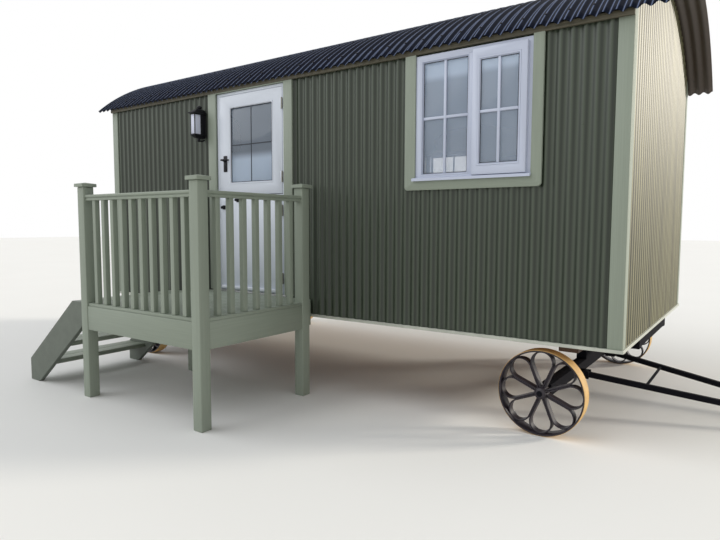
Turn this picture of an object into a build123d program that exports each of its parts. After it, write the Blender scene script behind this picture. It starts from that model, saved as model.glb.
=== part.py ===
"""A shepherds hut on four cast iron wheels, with an entrance deck, in millimetres.

+X runs along the hut towards the drawbar, +Y from the entrance side to the back,
+Z up. The origin is on the ground, at the middle of everything the hut covers.
"""
from build123d import *
from math import asin, atan2, copysign, cos, pi, sin, sqrt, tan
import os

# Hut body
hut_length = 5460.0
hut_width = 2715.0
wall_thickness = 90.0
floor_bottom = 643.0
floor_thickness = 140.0
cladding_depth = 20.0
corrugation_pitch = 76.2
corrugation_depth = 16.0
flashing_height = 22.0
flashing_proud = 8.0
corner_board_width = 92.0

# Roof, an arc across the hut that rests on the eaves boards
roof_radius = 2081.0
roof_sheet_depth = 18.0
roof_board_thickness = 24.0
eaves_overhang = 70.0
end_overhang = 206.0
eaves_board_bottom = 2696.0
eaves_board_height = 40.0
eaves_board_thickness = 22.0
cladding_lap = 24.0
roof_seat = 0.3

# Doorway, measured leftwards from the right end wall
doorway_right = 2820.0
doorway_width = 878.0
door_head_drop = 10.0
threshold_height = 25.0
door_frame_width = 26.0
door_stop_width = 12.0
door_stop_gap = 3.0
door_surround_right_width = 100.0
door_surround_left_width = 110.0
surround_thickness = 20.0

# Door leaves
leaf_thickness = 44.0
leaf_gap = 3.0
leaf_floor_gap = 5.0
leaf_proud = 2.0
leaf_split_height = 937.0
leaf_split_gap = 6.0
light_right_margin = 131.0
light_left_margin = 157.0
light_bottom_margin = 120.0
light_top_margin = 121.0
door_glass_thickness = 24.0

# Lift-off hinges
hinge_radius = 7.0
hinge_height = 100.0
hinge_face_gap = 1.0
hinge_plate_thickness = 1.0
hinge_plate_width = 28.0
hinge_web = 6.0
hinge_pin_radius = 3.0
hinge_pin_gap = 0.3
hinge_pin_rise = 40.0
hinge_end_margin = 96.0
turned_sides = 12

# Lever handle on the upper leaf, bolt knobs on the lower leaf
handle_setback = 84.0
handle_plate_width = 40.0
handle_plate_height = 152.0
handle_plate_thickness = 8.0
handle_plate_rise = 225.0
lever_rise = 110.0
lever_length = 112.0
lever_radius = 9.0
lever_standoff = 45.0
knob_radius = 14.0
knob_length = 34.0
bolt_plate_size = 40.0
bolt_plate_thickness = 6.0
left_bolt_setback = 55.0
left_bolt_drop = 113.0
right_bolt_setback = 247.0
right_bolt_drop = 46.0

# Front window, measured leftwards from the right end wall
window_right = 604.0
window_width = 884.0
window_head_drop = 11.0
window_height = 910.0
window_surround_width = 72.0
window_surround_left_width = 90.0
window_surround_corner = 28.0
window_frame_depth = 70.0
window_frame_proud = 10.0
window_side_width = 58.0
window_bottom_width = 50.0
window_top_width = 53.0
mullion_width = 80.0
fixed_light_width = 353.0
casement_overlap = 28.0
casement_stile_width = 60.0
casement_rail_width = 78.0
casement_thickness = 30.0
window_glass_thickness = 24.0

# Back window
back_window_right = 2150.0
back_window_width = 700.0
back_window_sill = 860.0
back_window_height = 700.0
back_window_frame_width = 60.0
back_surround_width = 75.0

# Wall lantern, a tapered cage on a bracket
lantern_right = 3880.0
lantern_drop = 100.0
lantern_standoff = 100.0
lantern_finial_height = 34.0
lantern_finial_radius = 8.0
lantern_cap_height = 46.0
lantern_cap_width = 126.0
lantern_cap_top_width = 34.0
lantern_cage_height = 190.0
lantern_cage_top_width = 84.0
lantern_cage_bottom_width = 62.0
lantern_bar = 7.0
lantern_ring = 10.0
lantern_glass_gap = 0.3
lantern_base_height = 22.0
lantern_stem_height = 40.0
lantern_arm = 18.0
lantern_plate_width = 90.0
lantern_plate_height = 344.0
lantern_plate_thickness = 12.0

# Chassis
chassis_rail_height = 100.0
chassis_rail_width = 60.0
chassis_rail_wall = 8.0
chassis_rail_spacing = 1200.0
cross_member_width = 50.0
cross_member_count = 4

# Axles and turntable
front_axle_setback = 515.0
rear_axle_setback = 515.0
axle_beam_size = 80.0
stub_radius = 20.0
hub_side_gap = 5.0
bolster_width = 150.0
bolster_height = 80.0
bolster_overlap = 60.0
turntable_radius = 260.0
turntable_plate = 12.0
turntable_gap = 0.3
kingpin_radius = 20.0
kingpin_gap = 0.5
kingpin_rise = 40.0

# Wheels with looped petal spokes
wheel_radius = 298.0
wheel_width = 110.0
wheel_inset = 24.0
rim_thickness = 14.0
rim_sides = 48
hub_sides = 16
hub_radius = 40.0
hub_length = 130.0
hub_bore_gap = 0.3
petal_count = 8
petal_strip = 10.0
petal_depth = 60.0
petal_radius = 79.0
petal_root_radius = 17.0
petal_wide_steps = 7
petal_root_steps = 2
petal_rim_overlap = 6.0
petal_hub_overlap = 6.0

# Drawbar
drawbar_reach = 1450.0
drawbar_bar = 40.0
drawbar_pivot_setback = 90.0
drawbar_pivot_drop = 30.0
drawbar_half_spread = 475.0
drawbar_head_half_spread = 75.0
drawbar_head_lift = 34.0
drawbar_head_length = 150.0
drawbar_tie_setback = 5.0
drawbar_tie_radius = 11.0
drawbar_pin_radius = 12.0
drawbar_pin_gap = 0.5
drawbar_boss_radius = 30.0
drawbar_lug_thickness = 14.0
drawbar_lug_gap = 10.0
tow_eye_radius = 24.0
tow_eye_outer_radius = 48.0
tow_eye_thickness = 30.0

# Entrance deck, measured from the right end wall and the front wall
deck_right = 2431.0
deck_width = 1500.0
deck_reach = 1287.0
deck_drop = 14.0
deck_board_thickness = 25.0
deck_edge_inset = 5.0
deck_wall_gap = 5.0
deck_fascia_height = 197.0
deck_fascia_thickness = 40.0
fascia_inset = 10.0
fascia_trim_height = 24.0
fascia_trim_proud = 6.0
joist_width = 45.0
joist_depth = 140.0
joist_count = 3

# Deck posts and balustrades
post_size = 90.0
post_rise = 951.0
post_wall_gap = 130.0
cap_overhang = 17.0
cap_plate_height = 24.0
cap_bevel_height = 12.0
cap_top_width = 100.0
handrail_rise = 886.0
handrail_height = 47.0
handrail_width = 70.0
baluster_size = 41.0
front_baluster_count = 10
side_baluster_count = 7

# Steps at the left end of the deck
riser_count = 4
tread_going = 255.0
top_tread_reach = 160.0
tread_thickness = 40.0
tread_nosing = 20.0
stringer_thickness = 40.0
stringer_depth = 250.0

# Places worked out from the sizes above
right_x = (hut_length + end_overhang - drawbar_reach) / 2
left_x = right_x - hut_length
front_y = -(hut_width + eaves_overhang - deck_reach - cap_overhang) / 2
back_y = front_y + hut_width
middle_y = (front_y + back_y) / 2
floor_top = floor_bottom + floor_thickness
threshold_top = floor_top + threshold_height
flashing_top = floor_bottom + flashing_height
inner_front_y = front_y + cladding_depth + wall_thickness
inner_back_y = back_y - cladding_depth - wall_thickness
inner_left_x = left_x + cladding_depth + wall_thickness
inner_right_x = right_x - cladding_depth - wall_thickness
eaves_top = eaves_board_bottom + eaves_board_height
cladding_top = eaves_board_bottom + cladding_lap
sheet_inner_radius = roof_radius - roof_sheet_depth
eaves_half_width = hut_width / 2 + eaves_board_thickness
roof_centre_z = eaves_top + roof_seat - sqrt(sheet_inner_radius**2 - eaves_half_width**2)
roof_crown = roof_centre_z + roof_radius
board_outer_radius = sheet_inner_radius - roof_seat
board_inner_radius = board_outer_radius - roof_board_thickness
wall_top_radius = board_inner_radius - roof_seat
corner_top = roof_centre_z + sqrt(board_outer_radius**2 - (hut_width / 2) ** 2)
door_head = eaves_board_bottom - door_head_drop
window_head = eaves_board_bottom - window_head_drop
deck_top = threshold_top - deck_drop
low_corner = (Align.MIN, Align.MIN, Align.MIN)
upright = (Align.CENTER, Align.CENTER, Align.MIN)


def block(x_span, y_span, z_span, mode=Mode.ADD):
    """Add a square-edged block between low and high coordinates."""
    with Locations((x_span[0], y_span[0], z_span[0])):
        Box(
            x_span[1] - x_span[0],
            y_span[1] - y_span[0],
            z_span[1] - z_span[0],
            align=low_corner,
            mode=mode,
        )


def centred(middle, size):
    """Give the low and high coordinates of a size centred on a middle."""
    return (middle - size / 2, middle + size / 2)


def inset(span, margin):
    """Give a span that is smaller by a margin at each end."""
    return (span[0] + margin, span[1] - margin)


def frustum(centre, low, high, mode=Mode.ADD):
    """Add a square-sided taper between two levels, each given as height and width."""
    near = (low[1] - high[1]) / 2
    far = low[1] - near
    with Locations((*centre, (low[0] + high[0]) / 2)):
        Wedge(
            low[1],
            high[0] - low[0],
            low[1],
            xmin=near,
            zmin=near,
            xmax=far,
            zmax=far,
            rotation=(90, 0, 0),
            mode=mode,
        )


def turned(plane, radius, length, both=False, mode=Mode.ADD):
    """Add a small turned piece along a plane's normal, its round drawn as a few flats."""
    with BuildSketch(plane) as section:
        RegularPolygon(radius, turned_sides)
    extrude(section.sketch, amount=length, both=both, mode=mode)


def wave_points(start, end, outer, inner):
    """Give a corrugated sheet's section as (along, across): waves outside, flat inside."""
    waves = max(1, round(abs(end - start) / corrugation_pitch))
    step = (end - start) / waves
    valley = outer + copysign(corrugation_depth, inner - outer)
    points = [(start, inner), (start, valley)]
    for index in range(waves):
        points.append((start + step * (index + 1 / 2), outer))
        points.append((start + step * (index + 1), valley))
    points.append((end, inner))
    return points


def from_right(distance):
    """Turn a distance to the left of the right end wall into an x coordinate."""
    return right_x - distance


def save(name, part):
    """Label a finished piece and write it to its own file."""
    part.label = name
    os.makedirs("parts", exist_ok=True)
    export_step(part, f"parts/{name}.step")


# Floor
with BuildPart() as floor:
    block(
        inset((left_x, right_x), cladding_depth),
        inset((front_y, back_y), cladding_depth),
        (floor_bottom, floor_top),
    )
save("floor", floor.part)

# Walls under the arc of the roof
doorway_x = (from_right(doorway_right + doorway_width), from_right(doorway_right))
window_x = (from_right(window_right + window_width), from_right(window_right))
window_z = (window_head - window_height, window_head)
back_window_x = (
    from_right(back_window_right + back_window_width),
    from_right(back_window_right),
)
back_window_bottom = floor_top + back_window_sill
back_window_z = (back_window_bottom, back_window_bottom + back_window_height)
front_wall_y = (front_y + cladding_depth, inner_front_y)
back_wall_y = (inner_back_y, back_y - cladding_depth)
end_wall_y = (front_wall_y[0], back_wall_y[1])


def arched_slab(x_span, y_span, bottom):
    """Add a wall that stands at bottom and is cut at the top by the roof's arc."""
    with BuildSketch(Plane.YZ.offset(x_span[0])) as section:
        with Locations((y_span[0], bottom)):
            Rectangle(y_span[1] - y_span[0], roof_crown - bottom, align=(Align.MIN, Align.MIN))
        with Locations((middle_y, roof_centre_z)):
            Circle(wall_top_radius, mode=Mode.INTERSECT)
    extrude(section.sketch, amount=x_span[1] - x_span[0])


with BuildPart() as front_wall_left:
    arched_slab((inner_left_x, doorway_x[0]), front_wall_y, floor_top)
save("front_wall_left", front_wall_left.part)

with BuildPart() as front_wall_over_door:
    arched_slab(doorway_x, front_wall_y, door_head)
save("front_wall_over_door", front_wall_over_door.part)

with BuildPart() as front_wall_right:
    arched_slab((doorway_x[1], inner_right_x), front_wall_y, floor_top)
    block(window_x, front_wall_y, window_z, mode=Mode.SUBTRACT)
save("front_wall_right", front_wall_right.part)

with BuildPart() as back_wall:
    arched_slab((inner_left_x, inner_right_x), back_wall_y, floor_top)
    block(back_window_x, back_wall_y, back_window_z, mode=Mode.SUBTRACT)
save("back_wall", back_wall.part)

with BuildPart() as left_end_wall:
    arched_slab((left_x + cladding_depth, inner_left_x), end_wall_y, floor_top)
save("left_end_wall", left_end_wall.part)

with BuildPart() as right_end_wall:
    arched_slab((inner_right_x, right_x - cladding_depth), end_wall_y, floor_top)
save("right_end_wall", right_end_wall.part)

# Corrugated cladding between the corner boards
long_sheet_x = inset((left_x, right_x), corner_board_width)


def long_cladding(outer_y, inner_y):
    """Add the corrugated sheet of a long wall, up to behind the eaves board."""
    with BuildSketch(Plane.XY.offset(flashing_top)) as section:
        with BuildLine() as outline:
            Polyline(*wave_points(*long_sheet_x, outer_y, inner_y), close=True)
        make_face(outline.edges())
    extrude(section.sketch, amount=cladding_top - flashing_top)


def end_cladding(outer_x, inner_x):
    """Add the corrugated sheet of an end wall, cut at the top by the roof's arc."""
    with BuildSketch(Plane.XY.offset(flashing_top)) as section:
        with BuildLine() as outline:
            points = wave_points(*end_wall_y, outer_x, inner_x)
            Polyline(*[(across, along) for along, across in points], close=True)
        make_face(outline.edges())
    extrude(section.sketch, amount=roof_crown - flashing_top)
    with BuildSketch(Plane.YZ.offset(min(outer_x, inner_x))) as arc:
        with Locations((middle_y, roof_centre_z)):
            Circle(board_outer_radius)
    extrude(arc.sketch, amount=cladding_depth, mode=Mode.INTERSECT)


with BuildPart() as front_cladding:
    long_cladding(front_y, front_wall_y[0])
    block(doorway_x, (front_y, front_wall_y[0]), (floor_top, roof_crown), mode=Mode.SUBTRACT)
    block(window_x, (front_y, front_wall_y[0]), window_z, mode=Mode.SUBTRACT)
save("front_cladding", front_cladding.part)

with BuildPart() as back_cladding:
    long_cladding(back_y, back_wall_y[1])
    block(back_window_x, (back_wall_y[1], back_y), back_window_z, mode=Mode.SUBTRACT)
save("back_cladding", back_cladding.part)

with BuildPart() as left_end_cladding:
    end_cladding(left_x, left_x + cladding_depth)
save("left_end_cladding", left_end_cladding.part)

with BuildPart() as right_end_cladding:
    end_cladding(right_x, right_x - cladding_depth)
save("right_end_cladding", right_end_cladding.part)

# Corner boards, base flashing and eaves boards
with BuildPart() as corner_boards:
    for board_x in (left_x, right_x - corner_board_width):
        for board_y in (front_y, back_y - cladding_depth):
            block(
                (board_x, board_x + corner_board_width),
                (board_y, board_y + cladding_depth),
                (flashing_top, corner_top),
            )
save("corner_boards", corner_boards.part)

with BuildPart() as base_flashing:
    block(
        inset((left_x, right_x), -flashing_proud),
        inset((front_y, back_y), -flashing_proud),
        (floor_bottom, flashing_top),
    )
    block(
        inset((left_x, right_x), cladding_depth),
        inset((front_y, back_y), cladding_depth),
        (floor_bottom, flashing_top),
        mode=Mode.SUBTRACT,
    )
save("base_flashing", base_flashing.part)

with BuildPart() as eaves_boards:
    for board_y in (front_y - eaves_board_thickness, back_y):
        block(
            (left_x, right_x),
            (board_y, board_y + eaves_board_thickness),
            (eaves_board_bottom, eaves_top),
        )
save("eaves_boards", eaves_boards.part)


def roof_shell(x_span, outer_radius, inner_radius, half_width):
    """Add an arc-shaped shell along the roof, cut plumb at the sides."""
    with BuildSketch(Plane.YZ.offset(x_span[0])) as section:
        with Locations((middle_y, roof_centre_z)):
            Circle(outer_radius)
            Circle(inner_radius, mode=Mode.SUBTRACT)
            Rectangle(
                2 * half_width,
                outer_radius,
                align=(Align.CENTER, Align.MIN),
                mode=Mode.INTERSECT,
            )
    extrude(section.sketch, amount=x_span[1] - x_span[0])


# The boards end inside the wall sheets, and the bare sheet overhangs on all sides
with BuildPart() as roof_boards:
    roof_shell(
        inset((left_x, right_x), cladding_depth),
        board_outer_radius,
        board_inner_radius,
        hut_width / 2 - cladding_depth,
    )
save("roof_boards", roof_boards.part)

with BuildPart() as roof_sheet:
    roof_shell(
        inset((left_x, right_x), -end_overhang),
        roof_radius,
        sheet_inner_radius,
        hut_width / 2 + eaves_overhang,
    )
save("roof_sheet", roof_sheet.part)

# Door frame, threshold and surround
leaf_face_y = front_y - leaf_proud
leaf_back_y = leaf_face_y + leaf_thickness
leaf_split = floor_top + leaf_split_height
opening_x = inset(doorway_x, door_frame_width)
opening_top = door_head - door_frame_width
frame_span_y = (front_y, inner_front_y)
with BuildPart() as door_frame:
    block(doorway_x, frame_span_y, (threshold_top, door_head))
    block(opening_x, frame_span_y, (threshold_top, opening_top), mode=Mode.SUBTRACT)
    stop_y = (leaf_back_y + door_stop_gap, inner_front_y)
    for stop_x in (opening_x[0], opening_x[1] - door_stop_width):
        block((stop_x, stop_x + door_stop_width), stop_y, (threshold_top, opening_top))
    block(opening_x, stop_y, (opening_top - door_stop_width, opening_top))
save("door_frame", door_frame.part)

with BuildPart() as door_threshold:
    block(doorway_x, frame_span_y, (floor_top, threshold_top))
save("door_threshold", door_threshold.part)

surround_y = (front_y - surround_thickness, front_y)
with BuildPart() as door_surround:
    block(
        (doorway_x[0] - door_surround_left_width, doorway_x[1] + door_surround_right_width),
        surround_y,
        (threshold_top, eaves_board_bottom),
    )
    block(doorway_x, surround_y, (threshold_top, door_head), mode=Mode.SUBTRACT)
save("door_surround", door_surround.part)

# Door leaves, hung on the right
leaf_x = inset(opening_x, leaf_gap)
leaf_y = (leaf_face_y, leaf_back_y)
lower_leaf_z = (threshold_top + leaf_floor_gap, leaf_split - leaf_split_gap / 2)
upper_leaf_z = (leaf_split + leaf_split_gap / 2, opening_top - leaf_gap)
light_x = (leaf_x[0] + light_left_margin, leaf_x[1] - light_right_margin)
light_z = (upper_leaf_z[0] + light_bottom_margin, upper_leaf_z[1] - light_top_margin)
with BuildPart() as upper_door:
    block(leaf_x, leaf_y, upper_leaf_z)
    block(light_x, leaf_y, light_z, mode=Mode.SUBTRACT)
save("upper_door", upper_door.part)

with BuildPart() as upper_door_glass:
    block(light_x, centred(sum(leaf_y) / 2, door_glass_thickness), light_z)
save("upper_door_glass", upper_door_glass.part)

with BuildPart() as lower_door:
    block(leaf_x, leaf_y, lower_leaf_z)
save("lower_door", lower_door.part)

# Hinges: the frame's knuckle carries the pin, the leaf's knuckle drops over it
hinge_x = opening_x[1]
hinge_y = leaf_face_y - hinge_radius - hinge_face_gap
hinge_half = hinge_height / 2


def hinge_bottoms(leaf_z):
    """Give the lower ends of the two hinges of one leaf."""
    return (leaf_z[0] + hinge_end_margin, leaf_z[1] - hinge_end_margin - hinge_height)


def leaf_hinges(leaf_z):
    """Add the plates of one leaf's hinges and their knuckles, bored for the pins."""
    for bottom in hinge_bottoms(leaf_z):
        knuckle_z = (bottom + hinge_half + hinge_pin_gap, bottom + hinge_height)
        block(
            (leaf_x[1] - hinge_plate_width, leaf_x[1]),
            (leaf_face_y - hinge_plate_thickness, leaf_face_y),
            (bottom, bottom + hinge_height),
        )
        block((hinge_x - hinge_web, hinge_x), (hinge_y, leaf_face_y), knuckle_z)
        knuckle_base = Plane(origin=(hinge_x, hinge_y, knuckle_z[0]))
        knuckle_height = knuckle_z[1] - knuckle_z[0]
        turned(knuckle_base, hinge_radius, knuckle_height)
        bore_radius = hinge_pin_radius + hinge_pin_gap
        turned(knuckle_base, bore_radius, knuckle_height, mode=Mode.SUBTRACT)


with BuildPart() as upper_hinges:
    leaf_hinges(upper_leaf_z)
save("upper_hinges", upper_hinges.part)

with BuildPart() as lower_hinges:
    leaf_hinges(lower_leaf_z)
save("lower_hinges", lower_hinges.part)

with BuildPart() as frame_hinges:
    for bottom in hinge_bottoms(lower_leaf_z) + hinge_bottoms(upper_leaf_z):
        block(
            (hinge_x, doorway_x[1]),
            (front_y - hinge_plate_thickness, front_y),
            (bottom, bottom + hinge_height),
        )
        block((hinge_x, hinge_x + hinge_web), (hinge_y, front_y), (bottom, bottom + hinge_half))
        knuckle_base = Plane(origin=(hinge_x, hinge_y, bottom))
        turned(knuckle_base, hinge_radius, hinge_half)
        turned(knuckle_base, hinge_pin_radius, hinge_half + hinge_pin_rise)
save("frame_hinges", frame_hinges.part)

# Lever handle on the upper leaf and bolt knobs on the lower leaf


def door_knob(x, z, radius, base, length):
    """Add a round stud that stands out from the leaf's face."""
    stud_base = Plane(origin=(x, leaf_face_y - base, z), x_dir=(1, 0, 0), z_dir=(0, -1, 0))
    turned(stud_base, radius, length)


handle_x = leaf_x[0] + handle_setback
handle_bottom = leaf_split + handle_plate_rise
lever_z = handle_bottom + lever_rise
lever_y = leaf_face_y - handle_plate_thickness - lever_standoff
with BuildPart() as door_handle:
    block(
        centred(handle_x, handle_plate_width),
        (leaf_face_y - handle_plate_thickness, leaf_face_y),
        (handle_bottom, handle_bottom + handle_plate_height),
    )
    door_knob(handle_x, lever_z, lever_radius, handle_plate_thickness, lever_standoff)
    lever_plane = Plane(
        origin=(handle_x - lever_length / 2, lever_y + lever_radius, lever_z),
        z_dir=(1, 0, 0),
    )
    turned(lever_plane, lever_radius, lever_length)
save("door_handle", door_handle.part)

bolt_places = (
    (leaf_x[0] + left_bolt_setback, leaf_split - left_bolt_drop),
    (leaf_x[0] + right_bolt_setback, leaf_split - right_bolt_drop),
)
with BuildPart() as lower_door_bolts:
    for bolt_x, bolt_z in bolt_places:
        block(
            centred(bolt_x, bolt_plate_size),
            (leaf_face_y - bolt_plate_thickness, leaf_face_y),
            centred(bolt_z, bolt_plate_size),
        )
        door_knob(bolt_x, bolt_z, knob_radius, bolt_plate_thickness, knob_length)
save("lower_door_bolts", lower_door_bolts.part)

# Front window: surround, frame with mullion, proud casement and two panes
surround_left_x = window_x[0] - window_surround_left_width
surround_bottom = window_z[0] - window_surround_width
with BuildPart() as window_surround:
    with BuildSketch(Plane.XZ.offset(-front_y)) as surround_face:
        with Locations((surround_left_x, surround_bottom)):
            Rectangle(
                window_x[1] + window_surround_width - surround_left_x,
                eaves_board_bottom - surround_bottom,
                align=(Align.MIN, Align.MIN),
            )
        fillet(
            surround_face.vertices().group_by(Axis.Z)[0],
            radius=window_surround_corner,
        )
        with Locations((window_x[0], window_z[0])):
            Rectangle(
                window_width,
                window_height,
                align=(Align.MIN, Align.MIN),
                mode=Mode.SUBTRACT,
            )
    extrude(amount=surround_thickness)
save("window_surround", window_surround.part)

frame_y = (front_y - window_frame_proud, front_y - window_frame_proud + window_frame_depth)
fixed_light_x = (
    window_x[0] + window_side_width,
    window_x[0] + window_side_width + fixed_light_width,
)
casement_opening_x = (fixed_light_x[1] + mullion_width, window_x[1] - window_side_width)
window_light_z = (window_z[0] + window_bottom_width, window_z[1] - window_top_width)
with BuildPart() as window_frame:
    block(window_x, frame_y, window_z)
    block(fixed_light_x, frame_y, window_light_z, mode=Mode.SUBTRACT)
    block(casement_opening_x, frame_y, window_light_z, mode=Mode.SUBTRACT)
save("window_frame", window_frame.part)

casement_x = inset(casement_opening_x, -casement_overlap)
casement_z = inset(window_light_z, -casement_overlap)
casement_y = (frame_y[0] - casement_thickness, frame_y[0])
casement_glass_x = inset(casement_x, casement_stile_width)
casement_glass_z = inset(casement_z, casement_rail_width)
with BuildPart() as window_casement:
    block(casement_x, casement_y, casement_z)
    block(casement_glass_x, casement_y, casement_glass_z, mode=Mode.SUBTRACT)
save("window_casement", window_casement.part)

casement_glass_y = (casement_y[1] - window_glass_thickness, casement_y[1])
with BuildPart() as window_glass:
    block(fixed_light_x, centred(sum(frame_y) / 2, window_glass_thickness), window_light_z)
    block(casement_glass_x, casement_glass_y, casement_glass_z)
save("window_glass", window_glass.part)

# Back window
back_surround_y = (back_y, back_y + surround_thickness)
with BuildPart() as back_window_surround:
    block(
        inset(back_window_x, -back_surround_width),
        back_surround_y,
        inset(back_window_z, -back_surround_width),
    )
    block(back_window_x, back_surround_y, back_window_z, mode=Mode.SUBTRACT)
save("back_window_surround", back_window_surround.part)

back_frame_y = (
    back_y + window_frame_proud - window_frame_depth,
    back_y + window_frame_proud,
)
back_light_x = inset(back_window_x, back_window_frame_width)
back_light_z = inset(back_window_z, back_window_frame_width)
with BuildPart() as back_window_frame:
    block(back_window_x, back_frame_y, back_window_z)
    block(back_light_x, back_frame_y, back_light_z, mode=Mode.SUBTRACT)
save("back_window_frame", back_window_frame.part)

with BuildPart() as back_window_glass:
    block(back_light_x, centred(sum(back_frame_y) / 2, window_glass_thickness), back_light_z)
save("back_window_glass", back_window_glass.part)

# Wall lantern: backplate, arm, base, glazed cage, pyramid cap and finial
lantern_x = from_right(lantern_right)
lantern_y = front_y - lantern_standoff
lantern_top = eaves_board_bottom - lantern_drop
cap_top = lantern_top - lantern_finial_height
cage_top = cap_top - lantern_cap_height
cage_bottom = cage_top - lantern_cage_height
lantern_base_bottom = cage_bottom - lantern_base_height
lantern_arm_z = (lantern_base_bottom - lantern_stem_height, lantern_base_bottom)
lantern_centre = (lantern_x, lantern_y)
cage_hollow = 2 * lantern_bar
with BuildPart() as wall_lantern:
    block(
        centred(lantern_x, lantern_plate_width),
        (front_y - lantern_plate_thickness, front_y),
        (lantern_arm_z[0] - lantern_arm, lantern_arm_z[0] - lantern_arm + lantern_plate_height),
    )
    block(
        centred(lantern_x, lantern_arm),
        (lantern_y - lantern_arm / 2, front_y),
        (lantern_arm_z[0] - lantern_arm, lantern_arm_z[0]),
    )
    block(centred(lantern_x, lantern_arm), centred(lantern_y, lantern_arm), lantern_arm_z)
    frustum(
        lantern_centre,
        (lantern_base_bottom, lantern_arm),
        (cage_bottom, lantern_cage_bottom_width),
    )
    frustum(
        lantern_centre,
        (cage_bottom, lantern_cage_bottom_width),
        (cage_top, lantern_cage_top_width),
    )
    frustum(
        lantern_centre,
        (cage_bottom, lantern_cage_bottom_width - cage_hollow),
        (cage_top, lantern_cage_top_width - cage_hollow),
        mode=Mode.SUBTRACT,
    )
    window_span = lantern_cage_bottom_width - 2 * cage_hollow
    cage_light_z = inset((cage_bottom, cage_top), lantern_ring)
    for light_plan in (
        (centred(lantern_x, window_span), centred(lantern_y, lantern_cage_top_width)),
        (centred(lantern_x, lantern_cage_top_width), centred(lantern_y, window_span)),
    ):
        block(*light_plan, cage_light_z, mode=Mode.SUBTRACT)
    frustum(
        lantern_centre,
        (cage_top, lantern_cap_width),
        (cap_top, lantern_cap_top_width),
    )
    finial_base = Plane(origin=(*lantern_centre, cap_top))
    turned(finial_base, lantern_finial_radius, lantern_finial_height)
save("wall_lantern", wall_lantern.part)

pane_inset = cage_hollow + 2 * lantern_glass_gap
with BuildPart() as lantern_glass:
    frustum(
        lantern_centre,
        (cage_bottom + lantern_glass_gap, lantern_cage_bottom_width - pane_inset),
        (cage_top - lantern_glass_gap, lantern_cage_top_width - pane_inset),
    )
save("lantern_glass", lantern_glass.part)

# Chassis: channel rails with cross members between their flanges
rail_bottom = floor_bottom - chassis_rail_height
rail_lines = centred(middle_y, chassis_rail_spacing)
rail_x = inset((left_x, right_x), cladding_depth)
flange_depth = chassis_rail_width - chassis_rail_wall
with BuildPart() as chassis_rails:
    for rail_y, inward in zip(rail_lines, (1, -1)):
        hollow_y = rail_y + inward * chassis_rail_wall
        block(rail_x, centred(rail_y, chassis_rail_width), (rail_bottom, floor_bottom))
        block(
            rail_x,
            centred(hollow_y, chassis_rail_width),
            inset((rail_bottom, floor_bottom), chassis_rail_wall),
            mode=Mode.SUBTRACT,
        )
save("chassis_rails", chassis_rails.part)

cross_y = inset(rail_lines, chassis_rail_wall - chassis_rail_width / 2)
cross_spacing = (rail_x[1] - rail_x[0] - cross_member_width) / (cross_member_count - 1)
with BuildPart() as chassis_cross_members:
    for index in range(cross_member_count):
        cross_x = rail_x[0] + index * cross_spacing
        block(
            (cross_x, cross_x + cross_member_width),
            cross_y,
            inset((rail_bottom, floor_bottom), chassis_rail_wall),
        )
save("chassis_cross_members", chassis_cross_members.part)

# Axles, turntable and king pin
front_axle_x = from_right(front_axle_setback)
rear_axle_x = left_x + rear_axle_setback
wheel_centre_z = wheel_radius
wheel_middle = hut_width / 2 - wheel_inset - wheel_width / 2
beam_z = centred(wheel_centre_z, axle_beam_size)
beam_half_length = wheel_middle - hub_length / 2 - hub_side_gap
bolster_half_length = chassis_rail_spacing / 2 + bolster_overlap
upper_plate_top = rail_bottom - bolster_height
lower_plate_top = upper_plate_top - turntable_plate - turntable_gap


def axle_beam(axle_x):
    """Add a square axle beam with a round stub into the hub at each end."""
    block(
        centred(axle_x, axle_beam_size),
        (middle_y - beam_half_length, middle_y + beam_half_length),
        beam_z,
    )
    with BuildSketch(Plane.XZ.offset(-middle_y)) as stub:
        with Locations((axle_x, wheel_centre_z)):
            Circle(stub_radius)
    extrude(stub.sketch, amount=wheel_middle + hub_length / 2, both=True)


with BuildPart() as turntable:
    block(
        centred(front_axle_x, bolster_width),
        (middle_y - bolster_half_length, middle_y + bolster_half_length),
        (upper_plate_top, rail_bottom),
    )
    with Locations((front_axle_x, middle_y, upper_plate_top - turntable_plate)):
        Cylinder(turntable_radius, turntable_plate, align=upright)
        Cylinder(
            kingpin_radius + kingpin_gap,
            turntable_plate + kingpin_rise + kingpin_gap,
            align=upright,
            mode=Mode.SUBTRACT,
        )
save("turntable", turntable.part)

drawbar_pivot_x = front_axle_x + drawbar_pivot_setback
drawbar_pivot_z = wheel_centre_z - drawbar_pivot_drop
lug_offset = drawbar_bar / 2 + drawbar_lug_gap
with BuildPart() as front_axle:
    axle_beam(front_axle_x)
    block(
        centred(front_axle_x, axle_beam_size),
        (middle_y - turntable_radius, middle_y + turntable_radius),
        (beam_z[1], lower_plate_top - turntable_plate),
    )
    with Locations((front_axle_x, middle_y, lower_plate_top - turntable_plate)):
        Cylinder(turntable_radius, turntable_plate, align=upright)
        Cylinder(
            kingpin_radius,
            turntable_plate + turntable_gap + turntable_plate + kingpin_rise,
            align=upright,
        )
    for side in (-1, 1):
        pivot_y = middle_y + side * drawbar_half_spread
        for lug_y in (pivot_y - lug_offset - drawbar_lug_thickness, pivot_y + lug_offset):
            block(
                (front_axle_x + axle_beam_size / 2, drawbar_pivot_x + drawbar_boss_radius),
                (lug_y, lug_y + drawbar_lug_thickness),
                centred(drawbar_pivot_z, 2 * drawbar_boss_radius),
            )
        pin_plane = Plane(origin=(drawbar_pivot_x, pivot_y, drawbar_pivot_z), z_dir=(0, -1, 0))
        turned(pin_plane, drawbar_pin_radius, lug_offset, both=True)
save("front_axle", front_axle.part)

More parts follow.
